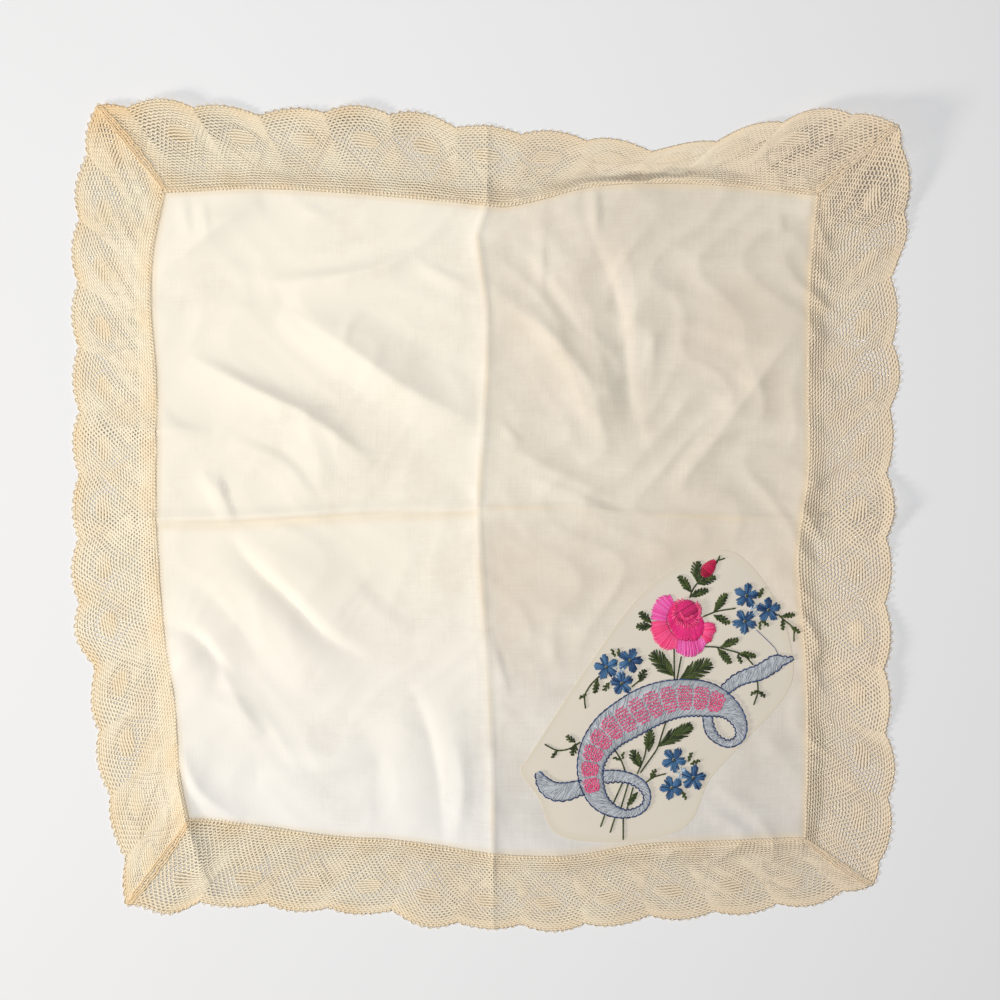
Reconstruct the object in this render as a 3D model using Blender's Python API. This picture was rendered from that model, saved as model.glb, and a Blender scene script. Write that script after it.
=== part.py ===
# Square keepsake handkerchief, laid out nearly flat: a sheer ivory ground, four lengths of
# scalloped net lace mitred round it, and an applied patch with raised flower embroidery.
# The ground was folded in quarters, so it keeps a cross of creases and many loose wrinkles.
# Lengths in the tables are millimetres, x to the right, y away from the viewer, z up.
from collections import namedtuple

import bmesh
import bpy
import numpy as np

MM = 0.001
CLOTH = 1.0             # thickness of the ground, the lace and the patch
GAP = 0.3               # clearance between neighbouring pieces
STITCH = 0.7            # height of the raised embroidery
PANEL_CELLS = 36        # cells of the ground along each side
SCALLOP_DEPTH = 2.2     # how far a notch cuts in between two scallops
SCALLOP_STEPS = 5       # edge points for each scallop
LACE_ROWS = 3           # cells across the width of the lace
MITRE_TRIM = 0.27       # what each length of lace gives up at a corner
CORNER_FADE = 8.0       # the notches grow shallow this near a corner
CROSSING = 0.35         # where two folds cross, this much of the lower adds to the higher
FOLD_FADE = 0.7         # power of the sine by which a fold dies out towards its ends
VALLEY_PEAK = 27 / 4    # brings the hump beside a valley to the fold's full height
LIFT_CURVE = 1.5        # power by which a lifted edge comes down to the surface
SCALLOP_CURVE = 0.8     # power of the sine that rounds a scallop
PATCH_STEPS = 48        # points round the patch
RIBBON_STEP = 2.0       # spacing of the points along a ribbon
STEM_STEP = 1.2         # spacing of the points along a stitched stem
STEM_STOPS = 5          # points along a stem's bare side
STEM_END = 0.93         # the last of them, as a part of the stem
LEAF_CLEAR = 0.9        # no point of the bare side comes this near to a leaf's root
LEAF_ROOT = (0.4, 0.5)  # a leaf's root reaches this far back and ahead along the stem
DOME_RING = 0.6         # a dome's inner ring and its shoulder, as parts of its outline and height
DOME_DROP = 0.08        # the inner ring lies this far under the dome's top

IVORY = (0.92, 0.87, 0.76)
ECRU = (0.86, 0.76, 0.60)
CREAM = (0.90, 0.84, 0.72)
ROSE_PINK = (0.90, 0.08, 0.24)
DEEP_PINK = (0.58, 0.01, 0.10)
CRIMSON = (0.55, 0.01, 0.07)
FLOWER_BLUE = (0.03, 0.11, 0.33)
LEAF_GREEN = (0.04, 0.09, 0.02)
RIBBON_GREY = (0.38, 0.46, 0.56)

# One side of the border. The seam is where the lace meets the ground, and the rim runs over
# the tips of its scallops. Each row is a place along the side and its distance across.
Side = namedtuple("Side", "name along_axis seam rim notch pitch")
SIDES = (
    Side("lace_top", 0,
         ((-110.1, 109.7), (-77.1, 111.0), (-50.4, 109.7), (-24.8, 107.7), (-4.0, 105.6),
          (4.5, 104.8), (14.0, 106.4), (35.1, 111.4), (50.7, 112.4), (85.4, 111.4), (110.6, 108.3)),
         ((-132.0, 137.3), (-120.2, 138.6), (-108.7, 139.0), (-79.8, 136.3), (-43.7, 137.0),
          (-22.8, 135.0), (-9.3, 131.8), (17.3, 129.4), (35.1, 127.6), (60.4, 124.2),
          (76.3, 127.6), (91.8, 131.9), (108.6, 135.3), (120.0, 135.0), (135.2, 128.9)),
         10.5, 22.0),
    Side("lace_right", 1,
         ((108.3, 110.6), (72.6, 108.2), (45.7, 107.9), (12.0, 107.6), (0.8, 105.9),
          (-12.0, 104.5), (-31.5, 105.6), (-48.7, 106.9), (-74.3, 107.6), (-109.0, 106.6)),
         ((128.9, 135.2), (121.2, 138.3), (111.4, 140.0), (95.2, 140.3), (86.1, 137.6),
          (66.2, 136.9), (45.7, 137.6), (31.2, 135.8), (16.3, 135.2), (-17.7, 134.9),
          (-68.9, 134.4), (-82.4, 135.9), (-106.3, 134.6), (-116.0, 132.8), (-124.2, 128.8)),
         -7.6, 21.9),
    Side("lace_bottom", 0,
         ((-101.7, -102.6), (-80.4, -105.0), (-50.4, -109.0), (-32.3, -110.0), (-16.4, -112.1),
          (1.1, -114.7), (27.1, -115.4), (50.7, -111.7), (76.3, -110.4), (106.6, -109.0)),
         ((-122.2, -130.6), (-108.7, -133.6), (-97.0, -131.6), (-70.0, -132.4), (-54.5, -133.6),
          (-32.3, -134.8), (-22.8, -137.8), (-3.9, -138.5), (27.1, -139.4), (50.7, -136.5),
          (75.3, -134.8), (95.8, -132.5), (114.0, -129.6), (128.8, -124.2)),
         10.5, 21.6),
    Side("lace_left", 1,
         ((109.7, -110.1), (88.8, -114.2), (76.0, -114.9), (46.3, -113.1), (-2.2, -113.1),
          (-42.0, -110.1), (-64.5, -106.7), (-88.5, -104.7), (-102.6, -101.7)),
         ((137.3, -132.0), (127.6, -135.6), (111.4, -138.7), (74.0, -140.2), (48.4, -139.8),
          (5.2, -139.8), (-28.5, -139.8), (-42.0, -138.4), (-50.4, -134.8), (-69.6, -133.4),
          (-92.5, -129.6), (-113.4, -124.6), (-130.6, -122.2)),
         -7.9, 21.5),
)

# A fold line in the cloth. A ridge has its crest on the line; a valley has its bottom there,
# with a hump along each side. left and right are the reach of the slope on either side, seen
# along the path, and ends says whether the fold dies out at its ends.
Fold = namedtuple("Fold", "kind height left right ends path")
FOLDS = (
    Fold("ridge", 1.3, 7, 7, False,
         ((-0.9, 150), (-0.9, 104.6), (-4.3, 93.9), (-0.9, 69.3), (-0.9, 45.7), (-3.9, 2.2),
          (-3.3, -15.0), (-0.2, -58.1), (1.1, -90.5), (1.1, -150))),
    Fold("ridge", 1.1, 7, 7, False,
         ((-150, -2.2), (-91.2, -2.2), (-43.7, 0.5), (-3.9, 2.2), (23.7, 2.9), (50.7, 0.2),
          (104.6, -1.5), (150, 2.0))),
    Fold("ridge", 2.4, 18, 14, True, ((-69.0, 69.9), (-49.4, 57.8), (-30.2, 44.0), (-3.9, 30.5))),
    Fold("ridge", 2.0, 9, 10, True, ((-101.0, 53.4), (-82.5, 44.0), (-60.6, 33.9), (-38.7, 17.0))),
    Fold("valley", 2.8, 16, 8, True,
         ((-89.9, -3.5), (-83.5, -12.6), (-68.0, -27.5), (-54.5, -40.9), (-37.6, -50.0))),
    Fold("valley", 1.8, 12, 7, True, ((-112.0, -36.6), (-100.3, -39.3), (-91.2, -48.7), (-86.0, -56.0))),
    Fold("ridge", 1.6, 9, 9, True, ((-91.2, -48.7), (-84.1, -63.2), (-76.1, -74.3))),
    Fold("ridge", 1.9, 20, 14, True,
         ((-0.2, 78.4), (10.2, 68.6), (19.3, 61.5), (28.1, 47.3), (34.5, 25.4))),
    Fold("valley", 1.5, 12, 12, True,
         ((32.8, 114.0), (33.8, 94.5), (38.5, 84.4), (44.6, 65.9), (47.3, 38.9), (58.1, 7.9))),
    Fold("ridge", 1.0, 9, 9, True, ((104.6, 64.2), (84.4, 37.2), (62.1, 6.9))),
    Fold("ridge", 1.6, 9, 13, True, ((-76.7, 106.3), (-89.2, 98.9), (-101.0, 89.5), (-112.8, 81.0))),
    Fold("ridge", 1.4, 9, 9, True, ((-79.1, 77.7), (-63.9, 78.4), (-31.9, 85.4), (-13.4, 97.9))),
    Fold("ridge", 1.5, 8, 8, True, ((-104.4, -77.3), (-97.6, -92.5), (-82.8, -103.3))),
    Fold("ridge", 1.3, 9, 10, True, ((-78.1, -87.5), (-60.6, -85.8), (-37.6, -83.1))),
    Fold("valley", 1.3, 12, 12, True, ((-30.2, -51.4), (-21.8, -68.9), (-16.7, -92.5), (-15.7, -116))),
    Fold("ridge", 1.6, 8, 8, True, ((-145.0, 29.5), (-120.0, 29.0), (-94.0, 28.1))),
    Fold("ridge", 1.2, 9, 9, True, ((3.5, 25.4), (23.7, 13.6), (43.9, 5.2))),
    Fold("ridge", 2.2, 8, 8, True, ((-106.0, -84.0), (-101.5, -104.0), (-92.0, -134.0))),
)

# Places where the edge stands off the surface: a middle, a reach each way, and a height.
Lift = namedtuple("Lift", "x y reach_x reach_y height")
LIFTS = (
    Lift(138, 134, 62, 44, 10.0),
    Lift(141, 2, 26, 20, 4.5),
    Lift(140, -50, 24, 30, 4.0),
    Lift(-108, 142, 46, 24, 3.5),
    Lift(-46, 141, 30, 20, 2.5),
)
CALM_CENTRE = (58, -61)    # the patch lies flat, and the wrinkles die out round it
CALM_RADIUS = 52
CALM_FADE = 16

PATCH_OUTLINE = (
    (82.7, -12.6), (96.1, -28.5), (102.0, -48.0), (99.5, -60.5), (86.0, -75.7), (74.0, -89.0),
    (67.8, -102.6), (58.0, -108.0), (38.2, -110.0), (22.3, -107.0), (16.6, -95.5), (10.5, -86.4),
    (13.9, -80.0), (32.1, -52.1), (50.7, -26.8), (67.5, -15.2))

# A stitched stroke: each row is a point of its middle line and half its width there.
RIBBON_BAND = (
    (73.3, -69.2, 1.3), (73.9, -72.2, 1.5), (76.9, -75.6, 1.1), (80.6, -76.9, 1.0),
    (84.1, -74.9, 1.3), (84.7, -71.6, 1.8), (83.3, -68.0, 2.5), (80.6, -64.9, 3.4),
    (74.5, -62.1, 5.3), (64.1, -61.3, 6.1), (53.3, -64.2, 6.7), (46.7, -67.9, 6.6),
    (39.9, -72.6, 5.9), (35.6, -78.2, 5.0), (33.7, -84.6, 4.2), (34.4, -90.8, 3.7),
    (36.6, -95.7, 2.9), (41.0, -99.2, 1.9), (45.5, -100.4, 1.2), (49.8, -99.5, 1.1),
    (52.5, -97.2, 0.9), (53.0, -93.9, 1.0), (51.3, -90.7, 1.4), (48.1, -88.6, 1.5),
    (44.2, -87.6, 1.7), (39.9, -87.6, 1.9))
TAIL_LEFT = (
    (29.3, -91.7, 2.4), (26.0, -92.7, 2.8), (20.8, -92.3, 2.8), (17.8, -89.5, 2.0), (16.2, -86.2, 0.6))
TAIL_RIGHT = (
    (80.2, -57.8, 1.6), (82.4, -55.9, 1.9), (86.1, -54.2, 2.1), (90.8, -52.8, 2.4),
    (95.5, -50.6, 2.3), (98.5, -48.9, 1.6), (101.6, -47.8, 0.3))

# A stitched flower: middle, reach of its petals, and the turn of the first one in degrees.
Flower = namedtuple("Flower", "x y reach turn")
FLOWERS = (
    Flower(86.3, -26.8, 4.3, 80), Flower(94.2, -31.9, 4.3, 20), Flower(85.9, -36.0, 4.3, 50),
    Flower(47.5, -48.5, 4.1, 70), Flower(38.8, -50.9, 4.1, 30), Flower(44.6, -56.6, 3.6, 95),
    Flower(61.8, -81.9, 4.3, 60), Flower(68.9, -89.4, 4.3, 10), Flower(60.9, -92.0, 4.1, 40),
)
PETALS = 5

# The rose's outline is the outer edge of its petals: each is a round of stitches.
Petal = namedtuple("Petal", "x y radius")
ROSE_MIDDLE = (66.0, -36.6)
ROSE_PETALS = (
    Petal(59.4, -32.4, 5.9), Petal(60.2, -39.8, 6.5), Petal(68.1, -42.8, 5.5),
    Petal(72.2, -38.6, 4.6), Petal(66.4, -33.2, 7.0),
)
ROSE_HEART = Flower(66.5, -32.3, 6.0, 0)
BUD = Flower(74.0, -17.7, 2.8, 60)

# A leaf beside its axis: each row is a part of its length and of its half width, up its near
# side, over the tip and back down the other.
LEAF_SHAPE = ((0.35, 1.0), (0.75, 0.7), (1.0, 0.0), (0.65, -0.7))
# A lone leaf: part of its length and of its half width.
LONE_LEAF_SHAPE = ((0.0, 0.25), (0.2, 0.8), (0.4, 1.0), (0.7, 0.75), (1.0, 0.0))

# A sprig: its stem's points from root to tip, the stem's half width, and its leaves. A leaf
# has its place along the stem (0 to 1), its side (1 left, -1 right), length, half width, angle.
Leaf = namedtuple("Leaf", "at side length half_width angle")
Sprig = namedtuple("Sprig", "name stem half_width leaves")
SPRIGS = (
    Sprig("sprig_bud", ((67.5, -25.5), (68.0, -23.6), (68.7, -20.8), (69.4, -17.0)), 1.2,
          (Leaf(0.08, 1, 6.2, 1.3, 32), Leaf(0.04, -1, 5.6, 1.1, 68), Leaf(0.36, -1, 4.6, 1.5, 50))),
    Sprig("sprig_right", ((76.0, -34.0), (77.0, -32.9), (78.6, -31.9), (81.2, -31.3)), 0.4,
          (Leaf(0.10, 1, 6.4, 1.3, 30), Leaf(0.12, -1, 5.6, 1.1, 62))),
    Sprig("sprig_end", ((98.8, -34.8), (99.8, -36.2), (102.2, -38.6), (102.2, -42.6)), 0.4,
          (Leaf(0.22, 1, 3.6, 0.9, 80), Leaf(0.62, 1, 2.8, 0.8, 50), Leaf(0.12, -1, 3.0, 0.7, 40))),
    Sprig("sprig_middle", ((74.8, -44.2), (77.0, -44.5), (80.8, -45.6), (84.1, -47.2), (87.2, -50.0)), 0.4,
          (Leaf(0.20, 1, 6.2, 1.3, 32), Leaf(0.20, -1, 6.2, 1.1, 42), Leaf(0.66, 1, 5.4, 1.2, 38),
           Leaf(0.70, -1, 3.0, 0.8, 50))),
    Sprig("sprig_foot_left", ((54.6, -46.8), (61.4, -54.2)), 2.2, ()),
    Sprig("sprig_foot_right", ((74.2, -49.9), (63.2, -54.4)), 2.3, ()),
    Sprig("sprig_rose_left_1", ((53.2, -34.9), (49.9, -31.7)), 1.3, ()),
    Sprig("sprig_rose_left_2", ((53.4, -37.0), (49.0, -37.4)), 1.3, ()),
    Sprig("sprig_cluster", ((49.0, -57.6), (51.9, -52.4)), 1.4, ()),
    Sprig("sprig_left", ((35.6, -56.0), (34.2, -58.2), (32.0, -61.2), (32.2, -64.9)), 0.4,
          (Leaf(0.12, -1, 3.4, 1.1, 62), Leaf(0.16, 1, 4.0, 0.9, 32), Leaf(0.66, -1, 2.4, 0.6, 60))),
    Sprig("sprig_tail", ((90.2, -56.4), (90.1, -58.9), (88.7, -63.4)), 0.4,
          (Leaf(0.42, 1, 3.6, 0.6, 42), Leaf(0.50, -1, 2.6, 0.6, 55))),
    Sprig("sprig_arch", ((50.6, -86.0), (53.4, -81.4), (56.6, -77.6), (60.0, -75.6)), 0.7,
          (Leaf(0.96, -1, 8.6, 1.9, -2), Leaf(0.44, 1, 6.4, 1.3, 30), Leaf(0.06, 1, 6.4, 1.4, 62))),
    Sprig("sprig_inner", ((42.9, -79.2), (44.5, -81.9), (45.0, -85.0)), 0.4, (Leaf(0.45, -1, 2.6, 0.6, 60),)),
    Sprig("sprig_far_left", ((29.2, -78.6), (26.2, -78.1), (22.5, -78.9), (18.5, -76.9)), 0.4,
          (Leaf(0.24, -1, 3.2, 0.9, 50), Leaf(0.28, 1, 3.0, 0.8, 60), Leaf(0.62, 1, 2.2, 0.4, 48))),
    Sprig("sprig_lower", ((54.4, -89.0), (55.3, -87.6), (57.2, -86.9)), 0.4, (Leaf(0.4, 1, 2.6, 0.8, 40),)),
    Sprig("stem_end_1", ((38.2, -102.0), (37.4, -104.6)), 0.5, ()),
    Sprig("stem_end_2", ((42.0, -102.2), (40.5, -106.5)), 0.5, ()),
    Sprig("stem_end_3", ((45.0, -102.6), (45.1, -108.6)), 0.5, ()),
    Sprig("stems_in_loop", ((47.2, -90.9), (44.0, -97.0)), 0.5,
          (Leaf(0.02, 1, 5.0, 0.5, 24), Leaf(0.02, -1, 5.2, 0.5, 18))),
)


def material(name, colour, roughness):
    new = bpy.data.materials.new(name)
    new.use_nodes = True
    shader = new.node_tree.nodes["Principled BSDF"]
    shader.inputs["Base Color"].default_value = (*colour, 1.0)
    shader.inputs["Roughness"].default_value = roughness
    shader.inputs["Metallic"].default_value = 0.0
    new.diffuse_color = (*colour, 1.0)
    return new


def smooth(knots, values, at):
    """Cubic curve through the values at the knots, read at the places asked for."""
    knots, values = np.asarray(knots, float), np.asarray(values, float)
    slopes = np.gradient(values, knots)
    i = np.clip(np.searchsorted(knots, at) - 1, 0, len(knots) - 2)
    span = knots[i + 1] - knots[i]
    q = (at - knots[i]) / span
    return ((2 * q**3 - 3 * q**2 + 1) * values[i] + (q**3 - 2 * q**2 + q) * span * slopes[i]
            + (3 * q**2 - 2 * q**3) * values[i + 1] + (q**3 - q**2) * span * slopes[i + 1])


def across(rows, along):
    """Distance across at the places along one side, from its rows in either order."""
    table = np.array(sorted(rows))
    return smooth(table[:, 0], table[:, 1], along)


def distances(points):
    """Distance along a path from its start to each of its points."""
    return np.concatenate(([0], np.cumsum(np.hypot(*np.diff(points[:, :2], axis=0).T))))


def heading(points):
    """Unit vector along a path at each of its points."""
    run = np.gradient(points[:, :2], axis=0)
    return run / np.hypot(*run.T)[:, None]


def path_points(rows, step):
    """Rows of a path, smoothed and read about every step along it, all columns alike."""
    rows = np.asarray(rows, float)
    length = distances(rows)
    count = max(2, int(round(length[-1] / step)) + 1)
    at = np.linspace(0, length[-1], count)
    if len(rows) == 2:
        return np.column_stack([np.interp(at, length, column) for column in rows.T])
    return np.column_stack([smooth(length, column, at) for column in rows.T])


def signed_distance(x, y, path):
    """Distance to a path, positive on its left, and the place along it from 0 to 1."""
    best = np.full(x.shape, np.inf)
    side = np.ones(x.shape)
    place = np.zeros(x.shape)
    path = np.asarray(path, float)
    lengths = np.hypot(*np.diff(path, axis=0).T)
    begun = 0.0
    for start, end, length in zip(path[:-1], path[1:], lengths):
        run = (end - start) / length
        ahead = (x - start[0]) * run[0] + (y - start[1]) * run[1]
        left = (y - start[1]) * run[0] - (x - start[0]) * run[1]
        ahead = np.clip(ahead, 0, length)
        off = np.hypot(x - start[0] - run[0] * ahead, y - start[1] - run[1] * ahead)
        nearer = off < best
        best = np.where(nearer, off, best)
        side = np.where(nearer, np.where(left < 0, -1, 1), side)
        place = np.where(nearer, (begun + ahead) / lengths.sum(), place)
        begun += length
    return best, side, place


def fold_height(fold, x, y):
    """Ridge: the square of one minus the part of the reach. Valley: nought on the line, a
    hump at a third of the reach, and nought again at the reach."""
    off, side, place = signed_distance(x, y, fold.path)
    q = np.minimum(off / np.where(side > 0, fold.left, fold.right), 1)
    profile = (1 - q) ** 2 if fold.kind == "ridge" else VALLEY_PEAK * q * (1 - q) ** 2
    fade = np.sin(np.pi * np.clip(place, 0, 1)) ** FOLD_FADE if fold.ends else 1.0
    return fold.height * profile * fade


def rise(x, y):
    """Height of the cloth's underside: its folds, calmed round the patch, and its lifted edges."""
    height = np.zeros(np.shape(x))
    for fold in FOLDS:
        one = fold_height(fold, x, y)
        height = np.maximum(height, one) + CROSSING * np.minimum(height, one)
    from_patch = np.hypot(x - CALM_CENTRE[0], y - CALM_CENTRE[1])
    height = height * np.clip((from_patch - CALM_RADIUS) / CALM_FADE, 0, 1)
    for lift in LIFTS:
        q = np.hypot((x - lift.x) / lift.reach_x, (y - lift.y) / lift.reach_y)
        height = height + lift.height * np.clip(1 - q, 0, 1) ** LIFT_CURVE
    return height


def closed_body(name, points, faces, finish):
    """One closed body from points in millimetres, its faces turned outwards."""
    mesh = bpy.data.meshes.new(name)
    mesh.from_pydata((np.asarray(points) * MM).tolist(), [], faces)
    work = bmesh.new()
    work.from_mesh(mesh)
    bmesh.ops.triangulate(work, faces=work.faces[:])
    bmesh.ops.recalc_face_normals(work, faces=work.faces[:])
    work.to_mesh(mesh)
    work.free()
    mesh.materials.append(finish)
    bpy.context.scene.collection.objects.link(bpy.data.objects.new(name, mesh))


def sheet(name, x, y, finish):
    """A sheet of cloth over a grid of plan points: underside on the rise, top a thickness above."""
    rows, columns = x.shape
    low = rise(x, y)
    under = np.column_stack([x.ravel(), y.ravel(), low.ravel()])
    over = under + (0, 0, CLOTH)
    count = rows * columns
    index = np.arange(count).reshape(rows, columns)
    quads = np.column_stack([index[:-1, :-1].ravel(), index[:-1, 1:].ravel(),
                             index[1:, 1:].ravel(), index[1:, :-1].ravel()])
    rim = np.concatenate([index[0, :-1], index[:-1, -1], index[-1, :0:-1], index[:0:-1, 0]])
    following = np.roll(rim, -1)
    walls = np.column_stack([rim, following, following + count, rim + count])
    faces = quads[:, ::-1].tolist() + (quads + count).tolist() + walls.tolist()
    closed_body(name, np.vstack([under, over]), faces, finish)


def slab(name, outline, low, high, finish):
    """A flat piece with the outline of its points."""
    outline = np.asarray(outline)
    count = len(outline)
    under = np.column_stack([outline, np.full(count, low)])
    over = np.column_stack([outline, np.full(count, high)])
    ring = np.arange(count)
    following = np.roll(ring, -1)
    walls = np.column_stack([ring, following, following + count, ring + count])
    faces = [ring[::-1].tolist(), (ring + count).tolist()] + walls.tolist()
    closed_body(name, np.vstack([under, over]), faces, finish)


def cushion(name, flower, outline, low, high, finish):
    """A low dome: the outline at the foot and shoulder, a smaller ring, and a top point."""
    middle = np.array([flower.x, flower.y])
    count = len(outline)
    inner = middle + (outline - middle) * DOME_RING
    shoulder = low + (high - low) * DOME_RING
    rings = [np.column_stack([outline, np.full(count, low)]),
             np.column_stack([outline, np.full(count, shoulder)]),
             np.column_stack([inner, np.full(count, high - DOME_DROP)])]
    ring = np.arange(count)
    following = np.roll(ring, -1)
    top = 3 * count
    faces = [ring[::-1].tolist()]
    for level in range(2):
        base = level * count
        faces += np.column_stack([ring + base, following + base,
                                  following + base + count, ring + base + count]).tolist()
    faces += np.column_stack([ring + 2 * count, following + 2 * count, np.full(count, top)]).tolist()
    closed_body(name, np.vstack(rings + [[[*middle, high]]]), faces, finish)


def seam_point(side, fraction):
    """A place on one side's seam, by the part of the way along it, from low to high."""
    rows = np.array(sorted(side.seam))
    along = rows[0, 0] + (rows[-1, 0] - rows[0, 0]) * fraction
    out = smooth(rows[:, 0], rows[:, 1], along)
    return np.array([along, out] if side.along_axis == 0 else [out, along])


def panel_grid():
    """Plan points of the ground: blended between its four seams, then its middle lines are
    drawn on to the cross of creases."""
    top, right, bottom, left = SIDES
    part = np.linspace(0, 1, PANEL_CELLS + 1)
    u, v = np.meshgrid(part, part)
    corners = [seam_point(side, np.float64(end)) for side in (bottom, top) for end in (0, 1)]
    weights = ((1 - u) * (1 - v), u * (1 - v), (1 - u) * v, u * v)
    from_corners = sum(weight * corner[:, None, None] for weight, corner in zip(weights, corners))
    x, y = ((1 - v) * seam_point(bottom, u) + v * seam_point(top, u)
            + (1 - u) * seam_point(left, v) + u * seam_point(right, v) - from_corners)
    middle = PANEL_CELLS // 2
    upright, level = np.array(FOLDS[0].path), np.array(FOLDS[1].path)
    pull_x = np.interp(-y[:, middle], -upright[:, 1], upright[:, 0]) - x[:, middle]
    pull_y = np.interp(x[middle], level[:, 0], level[:, 1]) - y[middle]
    near_x, near_y = 1 - abs(2 * u - 1), 1 - abs(2 * v - 1)
    inside = (near_x > 0) & (near_y > 0)
    return x + pull_x[:, None] * near_x * inside, y + pull_y[None, :] * near_y * inside


def lace_grid(side):
    """Plan points of one length of lace: rows from its seam out to its scalloped rim."""
    rim = np.array(side.rim)
    low, high = sorted((rim[0, 0], rim[-1, 0]))
    step = side.pitch / SCALLOP_STEPS
    first = side.notch + step * np.ceil((low - side.notch) / step + 0.5)
    marks = np.arange(first, high - step / 2, step)
    marks = np.concatenate(([low + MITRE_TRIM], marks, [high - MITRE_TRIM]))
    along_seam, inner = seam_point(side, (marks - low) / (high - low))[::1 if side.along_axis == 0 else -1]
    outward = np.sign(rim[0, 1])
    notch = 1 - np.abs(np.sin(np.pi * (marks - side.notch) / side.pitch)) ** SCALLOP_CURVE
    fade = np.clip(np.minimum(marks - low, high - marks) / CORNER_FADE, 0, 1)
    outer = across(side.rim, marks) - outward * SCALLOP_DEPTH * notch * fade
    t = np.linspace(0, 1, LACE_ROWS + 1)[:, None]
    along = along_seam * (1 - t) + marks * t
    out = (inner + outward * GAP) * (1 - t) + outer * t
    return (along, out) if side.along_axis == 0 else (out, along)


def stroke_outline(rows, step):
    """Outline of a stroke: its left side from root to tip, and back down its right side."""
    points = path_points(rows, step)
    run = heading(points)
    left = np.column_stack([-run[:, 1], run[:, 0]]) * points[:, 2:3]
    return np.vstack([points[:, :2] - left, (points[:, :2] + left)[::-1]])


def flower_outline(flower, petals=PETALS, steps=25, waist=0.5, roundness=0.6):
    """Round petals: the reach falls to a waist between two petals, by a cosine's power."""
    angle = np.linspace(0, 2 * np.pi, steps, endpoint=False)
    wave = np.abs(np.cos(petals * angle / 2)) ** roundness
    reach = flower.reach * (waist + (1 - waist) * wave)
    turned = angle + np.radians(flower.turn)
    return np.column_stack([flower.x + reach * np.cos(turned), flower.y + reach * np.sin(turned)])


def rose_outline(steps=44):
    """Outer edge of the petals: along each ray from the middle, the farthest point in a round."""
    angle = np.linspace(0, 2 * np.pi, steps, endpoint=False)
    ray = np.stack([np.cos(angle), np.sin(angle)])
    reach = np.zeros(steps)
    for petal in ROSE_PETALS:
        centre = np.array([petal.x, petal.y]) - ROSE_MIDDLE
        along = centre @ ray
        inside = petal.radius ** 2 - centre @ centre + along ** 2
        reach = np.maximum(reach, np.where(inside > 0, along + np.sqrt(np.maximum(inside, 0)), 0))
    return np.array(ROSE_MIDDLE) + (ray * reach).T


def turn(vector, degrees):
    angle = np.radians(degrees)
    return np.array([vector[0] * np.cos(angle) - vector[1] * np.sin(angle),
                     vector[0] * np.sin(angle) + vector[1] * np.cos(angle)])


def sprig_outline(sprig):
    """Outline of a stem with its leaves: up its left side, round the tip, down its right."""
    stem = path_points(sprig.stem, STEM_STEP)
    length = distances(stem)
    run = heading(stem)

    def on_stem(distance):
        centre = np.array([np.interp(distance, length, column) for column in stem.T])
        ahead = np.array([np.interp(distance, length, column) for column in run.T])
        return centre, ahead / np.hypot(*ahead)

    def one_side(side):
        stops = [(at, None) for at in np.linspace(0, STEM_END, STEM_STOPS)]
        for leaf in sprig.leaves:
            if leaf.side == side:
                stops = [stop for stop in stops if abs(stop[0] - leaf.at) * length[-1] > LEAF_CLEAR]
                stops.append((leaf.at, leaf))
        points = []
        for at, leaf in sorted(stops, key=lambda stop: stop[0]):
            centre, ahead = on_stem(at * length[-1])
            edge = centre + turn(ahead, 90 * side) * sprig.half_width
            if leaf is None:
                points.append(edge)
                continue
            axis = turn(ahead, leaf.angle * side)
            width = turn(axis, 90 * side) * leaf.half_width
            points.append(edge - ahead * LEAF_ROOT[0])
            points += [edge + axis * leaf.length * part + width * wide for part, wide in LEAF_SHAPE]
            points.append(edge + ahead * LEAF_ROOT[1])
        return points

    tip, _ = on_stem(length[-1])
    return np.array(one_side(1) + [tip] + one_side(-1)[::-1])


def leaf_outline(sprig):
    """A lone leaf along a straight line, widest at two fifths of its length."""
    (x0, y0), (x1, y1) = sprig.stem
    axis = np.array([x1 - x0, y1 - y0])
    side = turn(axis / np.hypot(*axis), 90) * sprig.half_width
    left = [np.array([x0, y0]) + axis * at + side * wide for at, wide in LONE_LEAF_SHAPE]
    right = [np.array([x0, y0]) + axis * at - side * wide for at, wide in LONE_LEAF_SHAPE[:-1]]
    return np.array(left + right[::-1])


def closed_curve(points, steps):
    """A smooth closed outline through the points."""
    loop = np.array([*points[-2:], *points, *points[:2]], float)
    knots = np.arange(-2, len(points) + 2)
    at = np.linspace(0, len(points), steps, endpoint=False)
    return np.column_stack([smooth(knots, column, at) for column in loop.T])


def stand_on_origin():
    """Move every piece so that the whole stands on z = 0, centred on x and y."""
    points = np.vstack([[tuple(vertex.co) for vertex in piece.data.vertices]
                        for piece in bpy.context.scene.collection.objects])
    low, high = points.min(axis=0), points.max(axis=0)
    shift = np.array([-(low[0] + high[0]) / 2, -(low[1] + high[1]) / 2, -low[2]])
    for piece in bpy.context.scene.collection.objects:
        for vertex in piece.data.vertices:
            vertex.co = vertex.co[0] + shift[0], vertex.co[1] + shift[1], vertex.co[2] + shift[2]
        piece.data.update()


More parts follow.
